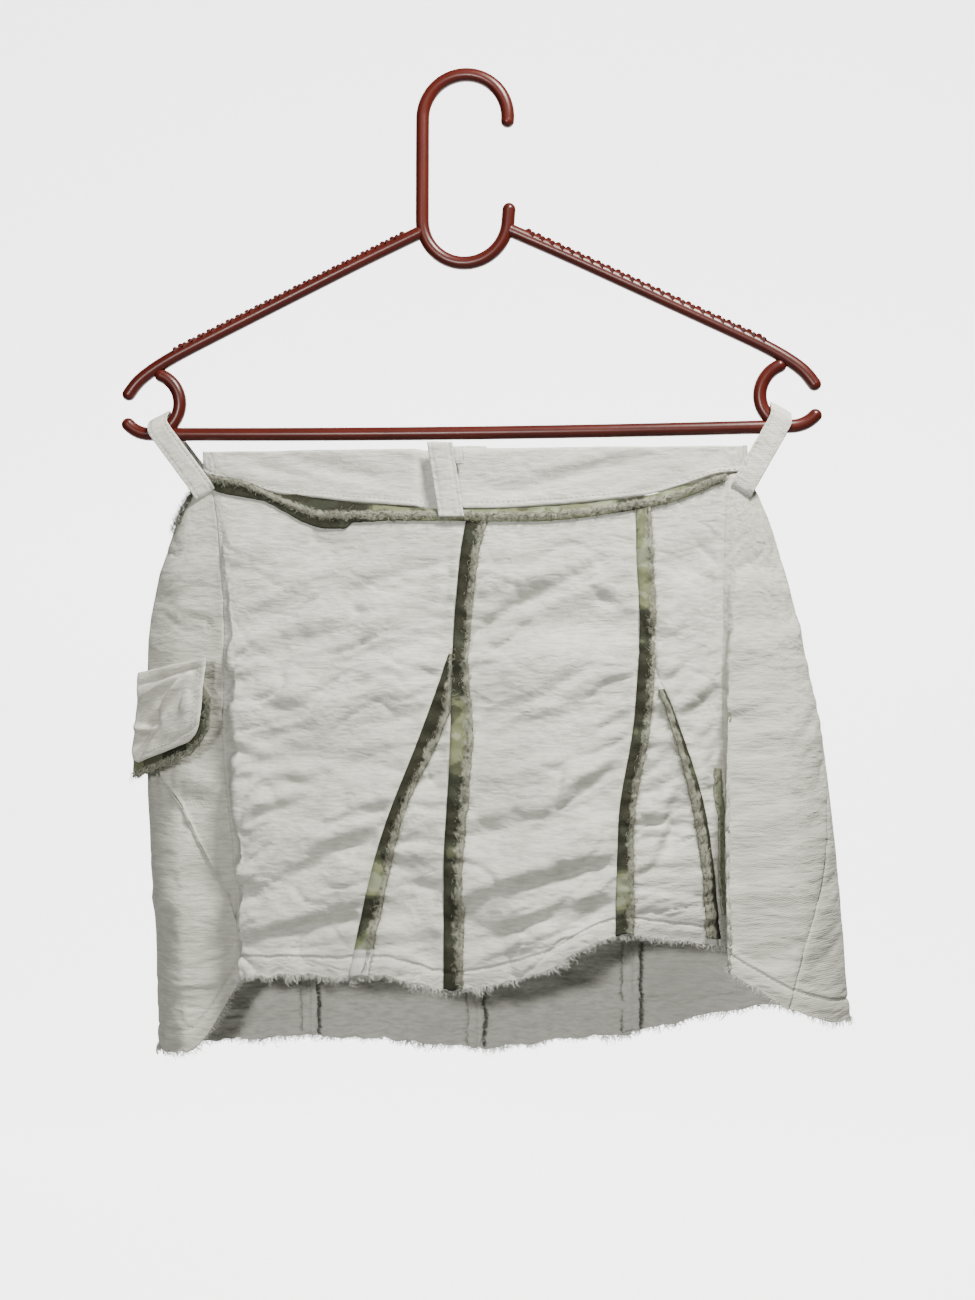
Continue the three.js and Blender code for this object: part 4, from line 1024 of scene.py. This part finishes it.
def camo_cloth():
    made, tree, shader = material("camouflage_cloth", (0.2, 0.2, 0.15), 0.9, Sheen_Weight=0.02,
                                  Sheen_Roughness=0.6, Specular_IOR_Level=0.12)
    tint = node(tree, "ShaderNodeAttribute", attribute_name="print")
    weave = woven(tree)[1]
    worn = ramp(tree, weave.outputs["Fleck"], [(0.55, 0.0), (0.8, 0.35)])
    base = mix(tree, worn.outputs["Color"], tint.outputs["Color"], (0.16, 0.165, 0.12))
    ribs = ramp(tree, weave.outputs["Rib"], [(0.0, 0.25), (0.6, 0.0)])
    base = mix(tree, ribs.outputs["Color"], base, (0.05, 0.05, 0.04))
    tree.links.new(base, shader.inputs["Base Color"])
    first = bump(tree, shader, weave.outputs["Rib"], 0.4, 0.0003)
    bump(tree, shader, weave.outputs["Slub"], 0.5, 0.0004, first)
    return made


CAMO_CLOTH = camo_cloth()


def ragged_shade(count, rng, pale=FRINGE, dark_share=0.2):
    tone = rng.uniform(0.62, 1.3, (count, 1))
    shade = pale * tone
    dark = rng.random(count) < dark_share
    shade[dark] = CAMO[1] * rng.uniform(0.8, 1.6, (int(dark.sum()), 1))
    return shade


def seam_ribbon(name, cad, on, inner, outer, v0, v1, tones, seed, frayed=0.60, per_mm=4.4, curl=0.9,
                white_foot=None, stray=()):
    """A seam allowance lying on panel `on`, from its sewn line to its frayed edge."""
    v = np.linspace(v0, v1, int((v1 - v0) * SPAN / 1.2))
    k = np.linspace(0, 1, 13)
    a, b = inner(v)[:, None], outer(v)[:, None]
    vv = np.repeat(v[:, None], len(k), axis=1)
    u = a + (b - a) * k * (1 + 0.07 * ripple(vv * SPAN / 3.1, vv * 0, seed)
                           + 0.06 * ripple(vv * SPAN / 8, vv * 0, seed + 9))
    over = LAYERS[on]
    base, normal = over(u, vv, 0.55)
    smooth, _ = face(u, vv)
    z = smooth[..., 2]
    rough = np.clip((k - frayed) / 0.2, 0, 1)
    puff = 0.5 * np.sin(math.pi * k) ** 0.6 + curl * np.exp(-((k - 0.92) / 0.14) ** 2)
    fuzz = rough * (0.55 * ripple(u / 1.5, z / 1.5, seed + 1) + 0.6 * ripple(u / 4, z / 4, seed + 2))
    crook = (1 - rough) * (0.3 * ripple(u / 6, z / 9, seed + 3))
    top = base + normal * (puff + fuzz + crook + 0.5)[..., None]
    shade = camo_at(smooth[..., 0], z, along(*tones)(z.ravel()).reshape(z.shape), seed + 4)
    worn = np.clip((k - frayed + 0.30 * ripple(u / 2.2, z / 3.2, seed + 5)
                    + 0.25 * ripple(u / 7, z / 9, seed + 6)) * 7, 0, 1)[..., None]
    speck = 1 - 0.55 * (ripple(u / 0.9, z / 0.9, seed + 7) > 0.22)[..., None]
    shade = shade * (1 - 0.85 * worn) + 0.85 * worn * FRINGE * speck
    if white_foot:
        shade = np.where((vv > white_foot)[..., None], np.array((0.55, 0.548, 0.53)), shade)
    made = grid_mesh(name, top, base - normal * 0.3, np.stack([u, -z], -1), CAMO_CLOTH, shade)
    fasten(made, cad)
    rng = np.random.default_rng(seed)
    count = int((v1 - v0) * SPAN * per_mm)
    vr = rng.uniform(v0, v1, count)
    kr = rng.beta(2.6, 1.6, count) * 0.62 + 0.42
    ur = inner(vr) + (outer(vr) - inner(vr)) * kr
    spot, out = over(ur, vr, 0.9)
    spot = spot + out * (0.6 * np.sin(math.pi * np.clip(kr, 0, 1)) ** 0.6 + 0.3)[:, None]
    beside, _ = over(ur + 0.8 * np.sign(outer(vr) - inner(vr)), vr, 0.9)
    away = beside - spot
    away -= out * (away * out).sum(axis=1, keepdims=True)
    away = unit(away)
    downward = np.cross(out, away)
    way = (away * rng.uniform(-0.15, 1, count)[:, None] + downward * rng.normal(0, 0.9, count)[:, None]
           + out * rng.normal(0.1, 0.22, count)[:, None])
    way = unit(way)
    reach = rng.gamma(4, 0.52, count).clip(0.8, 4.2)
    for place in stray:
        reach[np.argsort(np.abs(vr - place))[:6]] *= 3.6
    fray = fluff(f"{name}_fringe", spot, way, out, reach,
                 rng.uniform(0.09, 0.17, count), ragged_shade(count, rng), seed + 8, YARN)
    fasten(fray)


def over_right(u, v, gap=0.0):
    """The panel right of the centre-right seam: the right panel above the godet's tip, the godet below."""
    high, out = LAYERS["front_right_cloth"](u, v, gap)
    low, _ = LAYERS["front_right_godet_cloth"](u, np.maximum(v, GODET_FROM), gap)
    low[..., 2] = np.where(v < GODET_FROM, high[..., 2], low[..., 2])
    share = np.clip((v - GODET_FROM) / 0.03, 0, 1)[..., None]
    return high * (1 - share) + low * share, out


LAYERS["right_of_seam"] = over_right
cl_wide = along((0, 0.1, 0.3, 0.5, 0.75, 1), (12.5, 10, 9, 13, 11.5, 12))
cr_wide = along((0, 0.3, 0.5, 0.75, 1), (8.5, 9.5, 9.5, 8.5, 9.5))
gl_wide = along((0.3, 0.42, 0.52, 0.60, 0.8, 1), (6, 12, 11, 9, 11, 11))
gr_wide = along((0.4, 0.5, 0.75, 1), (1.5, 5, 6, 6))
seam_ribbon("seam_ribbon_centre_left", "seam_strip_centre_left", "front_centre_cloth",
            lambda v: u_cl(v) - 0.4, lambda v: u_cl(v) + cl_wide(v), 0.012, 0.997,
            ((-560, -450, -412, -395, -368, -357, -250), (0.10, 0.12, 0.3, 0.62, 0.66, 0.15, 0.08)), 301)
seam_ribbon("seam_ribbon_centre_right", "seam_strip_centre_right", "right_of_seam",
            lambda v: u_cr(v) - 0.4, lambda v: u_cr(v) + cr_wide(v), 0.016, 0.997,
            ((-520, -495, -487, -480, -466, -455, -318, -310, -240),
             (0.2, 0.12, 0.2, 0.72, 0.76, 0.1, 0.08, 0.72, 0.8)), 331)
seam_ribbon("seam_ribbon_left_godet", "seam_strip_left_godet", "front_left_godet_cloth",
            lambda v: u_gl(v) - 0.4, lambda v: np.minimum(u_gl(v) + gl_wide(v), u_cl(v) - 0.9),
            GODET_FROM + 0.02, 0.997,
            ((-560, -500, -492, -485, -470, -440, -300), (0.85, 0.7, 0.15, 0.12, 0.75, 0.12, 0.1)), 361,
            white_foot=0.945, stray=(0.37, 0.385))


def gr_inner(v):
    return np.maximum(u_gr(v) - gr_wide(v), u_cr(v) + cr_wide(v) + 0.7)


seam_ribbon("seam_ribbon_right_godet", "seam_strip_right_godet", "front_right_godet_cloth",
            lambda v: np.maximum(u_gr(v) + 0.4, gr_inner(v) + 1), gr_inner, 0.45, 0.985,
            ((-560, -250), (0.12, 0.12)), 391, 0.3, 3.4, 0.9, stray=(0.54, 0.57))
seam_ribbon("seam_ribbon_right_fold", "seam_strip_right_fold", "front_right_cloth",
            fixed(u_of("rightFold") - 3.5), fixed(u_of("rightFold") - 7.5), 0.62, 0.93,
            ((-560, -470, -420, -300), (1.2, 1.2, 1.2, 1.1)), 421, 0.75, 1.2, 0.3)

# ------------------------------------------------------------------ waist seam allowance
# The printed allowance of the waist seam: on the left it is turned up over the band's edge and
# wears to a fuzzy rope, on the right it hangs below the edge and ends in a soft fringe.


u_from, u_turn, u_end = u_of("leftFold") + 3, front_u([-66])[0], u_of("rightFold") - 2
drops = lambda values: [BAND_TOP - d for d in values]
up_top = along([u_from, *front_u([-133, -121, -107, -95, -82]), u_turn],
               drops([13.2, 17.2, 22.0, 26.4, 26.0, 27.0, 29.0]))
up_low = along([u_from, *front_u([-121, -107, -95, -82, -71]), u_turn], drops([23, 30, 37, 43.5, 47, 47, 43]))
rope_at = along([u_from, *front_u([-133, -121, -107, -95, -82]), u_turn],
                drops([15.5, 19.5, 24.5, 31, 35.7, 39.2, 39.2]))
down_low = along([u_turn, *front_u([-40, 40, 110]), u_end], drops([43.5, 42.5, 43.5, 35.5, 20.5]))
down_rope = along([u_turn, *front_u([-40, 40, 110]), u_end], drops([39.2, 39.0, 40.5, 32.5, 17.5]))


def waist_ribbon(name, cad, u0, u1, top, low, rope, tones, seed, half, emerge=lambda k: 1.3 + 0 * k,
                 end=None):
    u = np.arange(u0, u1, 1.1)
    k = np.linspace(0, 1, 19)[:, None]
    z = top(u)[None, :] + (low(u) - top(u))[None, :] * k
    z = z + 0.5 * k ** 4 * ripple(u / 2.6, u * 0, seed + 11)[None, :]
    uu = np.repeat(u[None, :], len(k), axis=0)
    share = np.maximum(0, (z - top_at(u)) / (hem_at(u) - top_at(u)))
    base, normal = face(uu, share, z)
    off = (z - rope(u)[None, :]) / half(u)[None, :]
    ridge = np.exp(-np.abs(off) ** 2.4)
    lift = emerge(k) + 0.35 * ripple(uu / 14, z / 6, seed) + ridge * (
        1.5 + 0.7 * ripple(uu / 1.6, z / 1.6, seed + 1) + 0.7 * ripple(uu / 4.5, z / 3, seed + 2))
    outer = base + normal * lift[..., None]
    inner = base + normal * (0.35 + 0 * lift)[..., None]
    shade = camo_at(base[..., 0], z, along(*tones)(base[..., 0].ravel()).reshape(z.shape), seed + 3)
    worn = np.clip((1.15 - np.abs(off) + 0.8 * ripple(uu / 2.4, z / 1.6, seed + 4)) * 3, 0, 1)[..., None]
    speck = 1 - 0.6 * (ripple(uu / 0.9, z / 0.9, seed + 5) > 0.2)[..., None]
    shade = shade * (1 - 0.88 * worn) + 0.88 * worn * FRINGE * speck
    made = grid_mesh(name, outer, inner, np.stack([uu, -z], -1), CAMO_CLOTH, shade)
    fasten(made, cad)
    rng = np.random.default_rng(seed)
    count = int((u1 - u0) * 7)
    ur = rng.uniform(u0 + 0.5, u1 - 0.5, count)
    zr = rope(ur) + half(ur) * rng.normal(-0.15, 0.6, count)
    vr = np.maximum(0, (zr - top_at(ur)) / (hem_at(ur) - top_at(ur)))
    spot, out = face(ur, vr, zr)
    spot = spot + out * (1.5 + 1.2 * np.exp(-((zr - rope(ur)) / half(ur)) ** 2))[:, None]
    beside, _ = face(ur + 1, vr, zr + rope(ur + 1) - rope(ur))
    east = beside - spot
    east -= out * (east * out).sum(axis=1, keepdims=True)
    east = unit(east)
    downward = np.cross(out, east)
    downward *= np.sign(-downward[:, 2:3])
    way = (east * rng.normal(0, 1, count)[:, None] + downward * rng.normal(0.35, 0.75, count)[:, None]
           + out * rng.normal(0.15, 0.3, count)[:, None])
    way = unit(way)
    shade = ragged_shade(count, rng, FRINGE * 1.05, 0.24)
    if end:
        more = 1500
        ue, ve = rng.uniform(*end, more), rng.beta(1.4, 1.6, more) * 0.10
        tip, facing_out = face(ue, ve)
        tuft = rng.normal(0, 1, (more, 3)) * (0.6, 0.4, 1) + facing_out * 0.25
        tuft = unit(tuft)
        spot = np.r_[spot, tip + facing_out * rng.uniform(0.1, 1.4, more)[:, None]]
        way, out = np.r_[way, tuft], np.r_[out, facing_out]
        shade = np.r_[shade, ragged_shade(more, rng, FRINGE * 0.95, 0.4)]
        count += more
    fray = fluff(f"{name}_fringe", spot, way, out, rng.gamma(4, 0.5, count).clip(0.8, 3.8),
                 rng.uniform(0.09, 0.17, count), shade, seed + 6, YARN)
    fasten(fray)


waist_ribbon("waist_ribbon_left", "waist_strip_left", u_from, u_turn - 0.5, up_top, up_low, rope_at,
             ((-150, -66), (0.12, 0.12)), 451, lambda u: 2.1 + 0 * u,
             lambda k: 0.5 + 0.9 * np.minimum(1, 3 * k), (u_of("left") - 4, u_of("left") + 17))
waist_ribbon("waist_ribbon_right", "waist_strip_right", u_turn - 1.5, u_end, lambda u: top_at(u) + 0.2,
             down_low, down_rope,
             ((-66, -58, -52, -30, 8, 85, 92, 103, 108, 150),
              (0.12, 0.12, 0.6, 0.62, 0.78, 0.78, 0.12, 0.12, 0.6, 0.5)),
             481, lambda u: 2.3 + 0 * u, lambda k: 0.4 + 1.0 * k)

# ------------------------------------------------------------------ belt loops
# Folded strips of twill, stitched along both edges. The two at the sides go up over the bottom
# bar under the end rings and carry the skirt; the front and back ones lie on the band.
LOOP_THICK, LOOP_WIDE, LOOP_ROOM, LOOP_INSET, ARCH_RISE = 1.3, 13.5, 2.6, 6.2, 3.4


def loop_strap(name, cad, path, wide, thick, seed):
    """A folded strap along a path: rounded edges, a groove inside each row of stitches."""
    path = eased(path)
    run = np.r_[0, np.cumsum(np.linalg.norm(np.diff(path, axis=0), axis=1))]
    at = np.arange(0, run[-1], 1.0)
    path = np.stack([np.interp(at, run, path[:, k]) for k in range(3)], 1)
    way = np.gradient(path, axis=0)
    way = unit(way)
    wide = np.broadcast_to(np.array(wide, float), path.shape)
    half = np.linalg.norm(wide[0])
    side = wide / half
    out = np.cross(side, way)
    out = unit(out)
    k = np.array([-1, -0.985, -0.94, -0.86, -0.74, -0.66, -0.58, -0.4, -0.15, 0.15, 0.4, 0.58, 0.66, 0.74,
                  0.86, 0.94, 0.985, 1])
    shape = thick / 2 * np.clip(1 - np.abs(k) ** 16, 0,
                                1) ** 0.5 - 0.42 * np.exp(-((np.abs(k) - 0.70) / 0.07) ** 2)
    rows_at, cols_at = at[:, None], k[None, :] * half
    noise = (0.7 * ripple(rows_at / 11 + 0 * cols_at, cols_at / 9 + 0 * rows_at, seed)
             + 0.15 * ripple(rows_at / 4 + 0 * cols_at, cols_at / 4 + 0 * rows_at, seed + 1))
    edge = 0.18 * ripple(rows_at / 8 + 0 * cols_at, 0 * rows_at + np.sign(cols_at), seed + 2)
    middle = path[:, None] + side[:, None] * (cols_at + edge * np.sign(cols_at))[..., None]
    top = middle + out[:, None] * (shape[None, :] + noise + 0.02)[..., None]
    low = middle + out[:, None] * (-np.abs(shape)[None, :] + noise - 0.02)[..., None]
    made = grid_mesh(name, top, low, np.stack([cols_at + 0 * rows_at, rows_at + 0 * cols_at], -1), BAND_CLOTH)
    fasten(made, cad)
    for col, tag in ((4, "a"), (13, "b")):
        stitch_row(f"{name}_stitches_{tag}", top[2:-2, col], out[2:-2], pitch=2.9, long=2.1, wide=0.42)


def side_loop(name, cad, side, foot, drop, seed):
    top = side * (RING_X - LOOP_INSET)
    turn_r, arch = ROD + LOOP_ROOM + LOOP_THICK / 2, BAR_Z + ARCH_RISE
    foot_z = BAND_TOP - drop
    leg = lambda k, s: (foot + (top - foot) * k, s * (turn_r + 1.5 * (1 - k)), foot_z + (arch - foot_z) * k)
    path = [(foot - side * 1.2, -turn_r + 3.2, foot_z - 3.2),
            (foot - side * 0.8, -turn_r - 0.4, foot_z - 2.4)]
    path += [leg(k, -1) for k in (0.06, 0.25, 0.5, 0.75, 1)]
    path += [(top, -turn_r * math.cos(math.pi * i / 8), arch + turn_r * math.sin(math.pi * i / 8))
             for i in range(1, 8)]
    path += [leg(k, 1) for k in (1, 0.75, 0.5, 0.25, 0.05)]
    loop_strap(name, cad, path, np.array((0.88 * side, 0, -0.475)) * side * LOOP_WIDE / 2, LOOP_THICK, seed)


side_loop("belt_loop_left_strap", "belt_loop_left", -1, -155.6, 23, 511)
side_loop("belt_loop_right_strap", "belt_loop_right", 1, 162.5, 23.5, 521)
for cad, x, out, lean, seed in (("belt_loop_front", -13, -1, 0.16, 531), ("belt_loop_back", 4, 1, 0, 541)):
    steps = ((2.6, 6), (2.8, 0), (3.5, -4.2), (4.4, -1.0), (3.4, 12), (3.2, 26), (4.4, 41))
    loop_strap(f"{cad}_strap", cad, [(x + lean * d, out * (9 + off), BAND_TOP - d) for off, d in steps],
               (-out * 7.5, 0, 0) if out < 0 else (-7.5, 0, 0), 1.2, seed)

k, m = np.meshgrid(np.linspace(0, 1, 15), np.linspace(-1, 1, 9), indexing="ij")
crook = 0.5 * ripple(k * 3, m * 2, 551) + 0.6 * np.sin(math.pi * k)
spread = 3.0 * (1 - 0.25 * k ** 2)
tab_x, tab_z = -3.6 + m * spread + 1.3 * k, BAND_TOP + 0.6 - 10.2 * k
near = np.stack([tab_x, -(12.9 + crook - 0.5 * np.abs(m) ** 6), tab_z], -1)
far = np.stack([tab_x, -(11.4 + crook + 0.4 * np.abs(m) ** 6), tab_z], -1)
tab = grid_mesh("belt_loop_front_tab", near, far, np.stack([m * 3, k * 10], -1), BAND_CLOTH)
fasten(tab)

# ------------------------------------------------------------------ zip
# A short metal zip sewn behind the centre-left seam: woven tapes, two rows of teeth, a slider
# with its pull, and a stop at the foot.


def tape_finish():
    made, tree, shader = material("zip_tape_weave", (0.66, 0.655, 0.62), 0.85, Sheen_Weight=0.1)
    place = tree.nodes.new("ShaderNodeTexCoord").outputs["Object"]
    rib = node(tree, "ShaderNodeTexWave", Scale=420, Distortion=0.4, Detail=1)
    rib.bands_direction = "Z"
    tree.links.new(place, rib.inputs["Vector"])
    cloud = wired_noise(tree, place, 120, 4)
    tint = ramp(tree, cloud.outputs["Fac"], [(0.3, (0.58, 0.575, 0.54)), (0.7, (0.70, 0.695, 0.66))])
    shadow = ramp(tree, rib.outputs["Fac"], [(0.1, 0.35), (0.5, 0.0)])
    tree.links.new(mix(tree, shadow.outputs["Color"], tint.outputs["Color"], (0.4, 0.4, 0.37)),
                   shader.inputs["Base Color"])
    bump(tree, shader, rib.outputs["Fac"], 0.5, 0.0002)
    return made


TAPE = tape_finish()
BRASS = metal_finish("zip_steel", (0.58, 0.56, 0.50), (0.36, 0.34, 0.29))
dress(BRASS, "zip_teeth_left", "zip_teeth_right", "zip_stop", "zip_slider", "zip_pull")
ZIP_TOP, ZIP_LONG, ZIP_TILT = np.array((2, -3.9, BAND_TOP - 43)), 118.0, (0.052, 0.142)
zip_down = np.array((-ZIP_TILT[0], -ZIP_TILT[1], -1))
zip_down /= np.linalg.norm(zip_down)
zip_across = np.array((1, 0, 0)) - zip_down * zip_down[0]
zip_across /= np.linalg.norm(zip_across)
zip_depth = np.cross(zip_across, zip_down)
for side, name in ((-1, "left"), (1, "right")):
    start, wide, long = 0.7 + 1.2 + 0.3, 9.0, ZIP_LONG + 3
    w = np.linspace(start, start + wide, 19)
    t = np.linspace(-1.5, ZIP_LONG + 1.5, 122)
    ww, tt = np.meshgrid(w, t)
    ridge = (0.12 * np.sin(ww * 2 * math.pi / 1.5) + 0.2 * np.exp(-((ww - start - 0.8) / 0.6) ** 2)
             + 0.15 * ripple(ww / 5, tt / 14, 551 + side))
    middle = ZIP_TOP + side * zip_across * ww[..., None] + zip_down * tt[..., None]
    skin = [middle - zip_depth * (0.3 + ridge)[..., None],
            middle + zip_depth * (0.3 - 0.5 * ridge)[..., None]]
    first, second = skin if side > 0 else (skin[0][:, ::-1], skin[1][:, ::-1])
    tape = grid_mesh(f"zip_tape_{name}_cloth", first, second, np.stack([ww, tt], -1), TAPE)
    fasten(tape, f"zip_tape_{name}")

# ------------------------------------------------------------------ cargo flap on the left side
# The flap of a cut-off cargo pocket: doubled twill, creased and bulged over its snap, with a
# camouflage facing behind that shows below it as a frayed edge.
FLAP = [np.array(p, float) for p in ((-197, -1.5, -349), (-148.5, -28, -339.5), (-152, -31.5, -386.5),
                                     (-201, -6, -405))]
FLAP_CLOTH = white_cloth("white_twill_flap", (0.640, 0.622, 0.560), (0.530, 0.515, 0.455), 9.4, 0.10)
flap_out = np.cross(FLAP[1] - FLAP[0], FLAP[3] - FLAP[0])
flap_out /= -np.linalg.norm(flap_out)
FLAP_CREASES = ((0.10, 0.30, 0.62, 0.16, 1.6, 0.045), (0.42, 0.52, 0.78, 0.16, 2.4, 0.04),
                (0.08, 0.80, 0.40, 0.52, -2.4, 0.05),
                (0.02, 0.62, 0.34, 0.70, 1.8, 0.04), (0.05, 1.0, 0.42, 0.66, -1.2, 0.025),
                (0.05, 0.14, 0.9, 0.10, -1.3, 0.03),
                (0.55, 0.94, 0.95, 0.84, -0.7, 0.02))


def flap_grid(kk, mm, lift):
    left = FLAP[0] + (FLAP[3] - FLAP[0]) * kk[..., None]
    right = FLAP[1] + (FLAP[2] - FLAP[1]) * kk[..., None]
    return left + (right - left) * mm[..., None] + flap_out * lift[..., None]


def flap_relief(k, m):
    lift = 1.2 * np.sin(math.pi * np.clip(k, 0, 1)) * np.sin(math.pi * np.clip(m, 0, 1))
    lift = lift + 1.5 * ripple(m * 3.1, k * 3.3, 571) + 0.4 * ripple(m * 8, k * 8, 572)
    for m0, k0, m1, k1, high, wide in FLAP_CREASES:
        along_x, along_y = m1 - m0, k1 - k0
        span = math.hypot(along_x, along_y)
        t = np.clip(((m - m0) * along_x + (k - k0) * along_y) / span ** 2, 0, 1)
        far = np.hypot(m - m0 - t * along_x, k - k0 - t * along_y)
        lift = lift + (2.3 * high * np.exp(-(far / wide) ** 2)
                       * np.sin(math.pi * np.clip(0.12 + 0.76 * t, 0, 1)))
    lift = lift + 1.7 * np.exp(-(((m - 0.80) / 0.09) ** 2 + ((k - 0.52) / 0.13) ** 2) ** 2)
    return lift


k = np.r_[0, 0.008, 0.02, np.linspace(0.04, 0.96, 44), 0.98, 0.992, 1][:, None]
m = np.r_[0, 0.008, 0.02, np.linspace(0.04, 0.96, 44), 0.98, 0.992, 1][None, :]
kk, mm = np.broadcast_arrays(k, m)
round_off = 0.7 * (np.exp(-(kk / 0.012) ** 2) + np.exp(-((1 - kk) / 0.012) ** 2)
                   + np.exp(-(mm / 0.012) ** 2) + np.exp(-((1 - mm) / 0.012) ** 2)).clip(0, 1)
shift_m = (0.03 * np.sin(math.pi * kk) * (1 - mm)
           - 0.05 * np.clip((kk - 0.82) / 0.18, 0, 1) ** 2 * (2 * mm - 1))
shift_k = -0.06 * np.clip(1 - np.minimum(mm, 1 - mm) / 0.12, 0, 1) ** 2 * kk
relief = flap_relief(kk, mm)
outer = flap_grid(kk + shift_k, mm + shift_m, 1.6 + relief - round_off)
inner = flap_grid(kk + shift_k, mm + shift_m, relief * 0.8 + round_off)
uv = np.stack([mm * 55, kk * 56], -1)
flap = grid_mesh("pocket_flap_cloth", outer, inner, uv, FLAP_CLOTH)
normals = np.broadcast_to(flap_out, outer.shape)
trims = [stitch_row("pocket_flap_stitches_foot", outer[-6, 3:-3], normals[-6, 3:-3], "pocket_flap"),
         stitch_row("pocket_flap_stitches_side", outer[3:-3, -6], normals[3:-3, -6], "pocket_flap"),
         stitch_row("pocket_flap_stitches_top", outer[6, 3:-3], normals[6, 3:-3], "pocket_flap")]
fasten(flap, "pocket_flap", "pocket_flap")

k = np.linspace(0.02, 1.15, 52)[:, None]
m = np.linspace(0.02, 1.1, 52)[None, :]
kk, mm = np.broadcast_arrays(k, m)
ragged = 0.02 * ripple(mm * 24, kk * 0, 581) * kk ** 4 + 0.016 * ripple(mm * 60, kk * 0 + 0.4, 582) * kk ** 4
tuck = 1 - 0.12 * np.clip((0.62 - kk) / 0.25, 0, 1) * np.clip((mm - 0.5) / 0.5, 0, 1)
round_low = (-0.20 * np.clip((mm - 0.80) / 0.30, 0, 1) ** 2 * kk
             - 0.05 * np.clip((0.12 - mm) / 0.12, 0, 1) ** 2 * kk)
lift = flap_relief(np.clip(kk, 0, 1), np.clip(mm, 0, 1)) * 0.8 - 0.7 - 0.6 * np.clip((kk - 0.9) / 0.2, 0, 1)
outer = flap_grid(kk + ragged + round_low, mm * tuck, lift + 0.25 * ripple(mm * 30, kk * 30, 583))
inner = flap_grid(kk + ragged + round_low, mm * tuck, lift - 0.7)
tone = np.interp(mm, (0, 0.45, 0.47, 0.78, 0.8, 1.1), (0.55, 0.6, 0.10, 0.10, 0.5, 0.5))
shade = camo_at(mm * 55, kk * 56, tone, 584)
worn = np.clip((np.maximum(kk - 1.06, mm - 1.02) * 9 + 0.5 * ripple(mm * 26, kk * 26, 585)) * 4, 0,
               1)[..., None]
shade = shade * (1 - 0.85 * worn) + 0.85 * worn * FRINGE
facing = grid_mesh("pocket_flap_facing_cloth", outer, inner, np.stack([mm * 55, kk * 56], -1), CAMO_CLOTH,
                   shade)
rng = np.random.default_rng(586)
count = 900
foot = rng.random(count) < 0.62
mr = np.where(foot, rng.uniform(0.02, 1.08, count), rng.uniform(1.03, 1.1, count))
kr = np.where(foot, rng.uniform(1.06, 1.15, count), rng.uniform(0.66, 1.1, count))
kr = kr - 0.20 * np.clip((mr - 0.80) / 0.30, 0, 1) ** 2 * kr
root = flap_grid(kr, mr, -0.6 + rng.uniform(-0.3, 0.6, count))
flap_down = (FLAP[3] - FLAP[0]) / np.linalg.norm(FLAP[3] - FLAP[0])
flap_right = (FLAP[1] - FLAP[0]) / np.linalg.norm(FLAP[1] - FLAP[0])
way = np.where(foot[:, None], flap_down, flap_right) + flap_right * rng.normal(0, 0.6, count)[:, None]
way = way + flap_down * rng.normal(0, 0.6, count)[:, None] + flap_out * rng.normal(0, 0.25, count)[:, None]
way = unit(way)
fray = fluff("pocket_flap_facing_fringe", root, way, np.broadcast_to(flap_out, way.shape).copy(),
             rng.gamma(4, 0.55, count).clip(0.8, 4.2),
             rng.uniform(0.09, 0.17, count), ragged_shade(count, rng), 587, YARN)
fasten(facing, "pocket_flap_facing", "pocket_flap")
fasten(fray, body="pocket_flap")
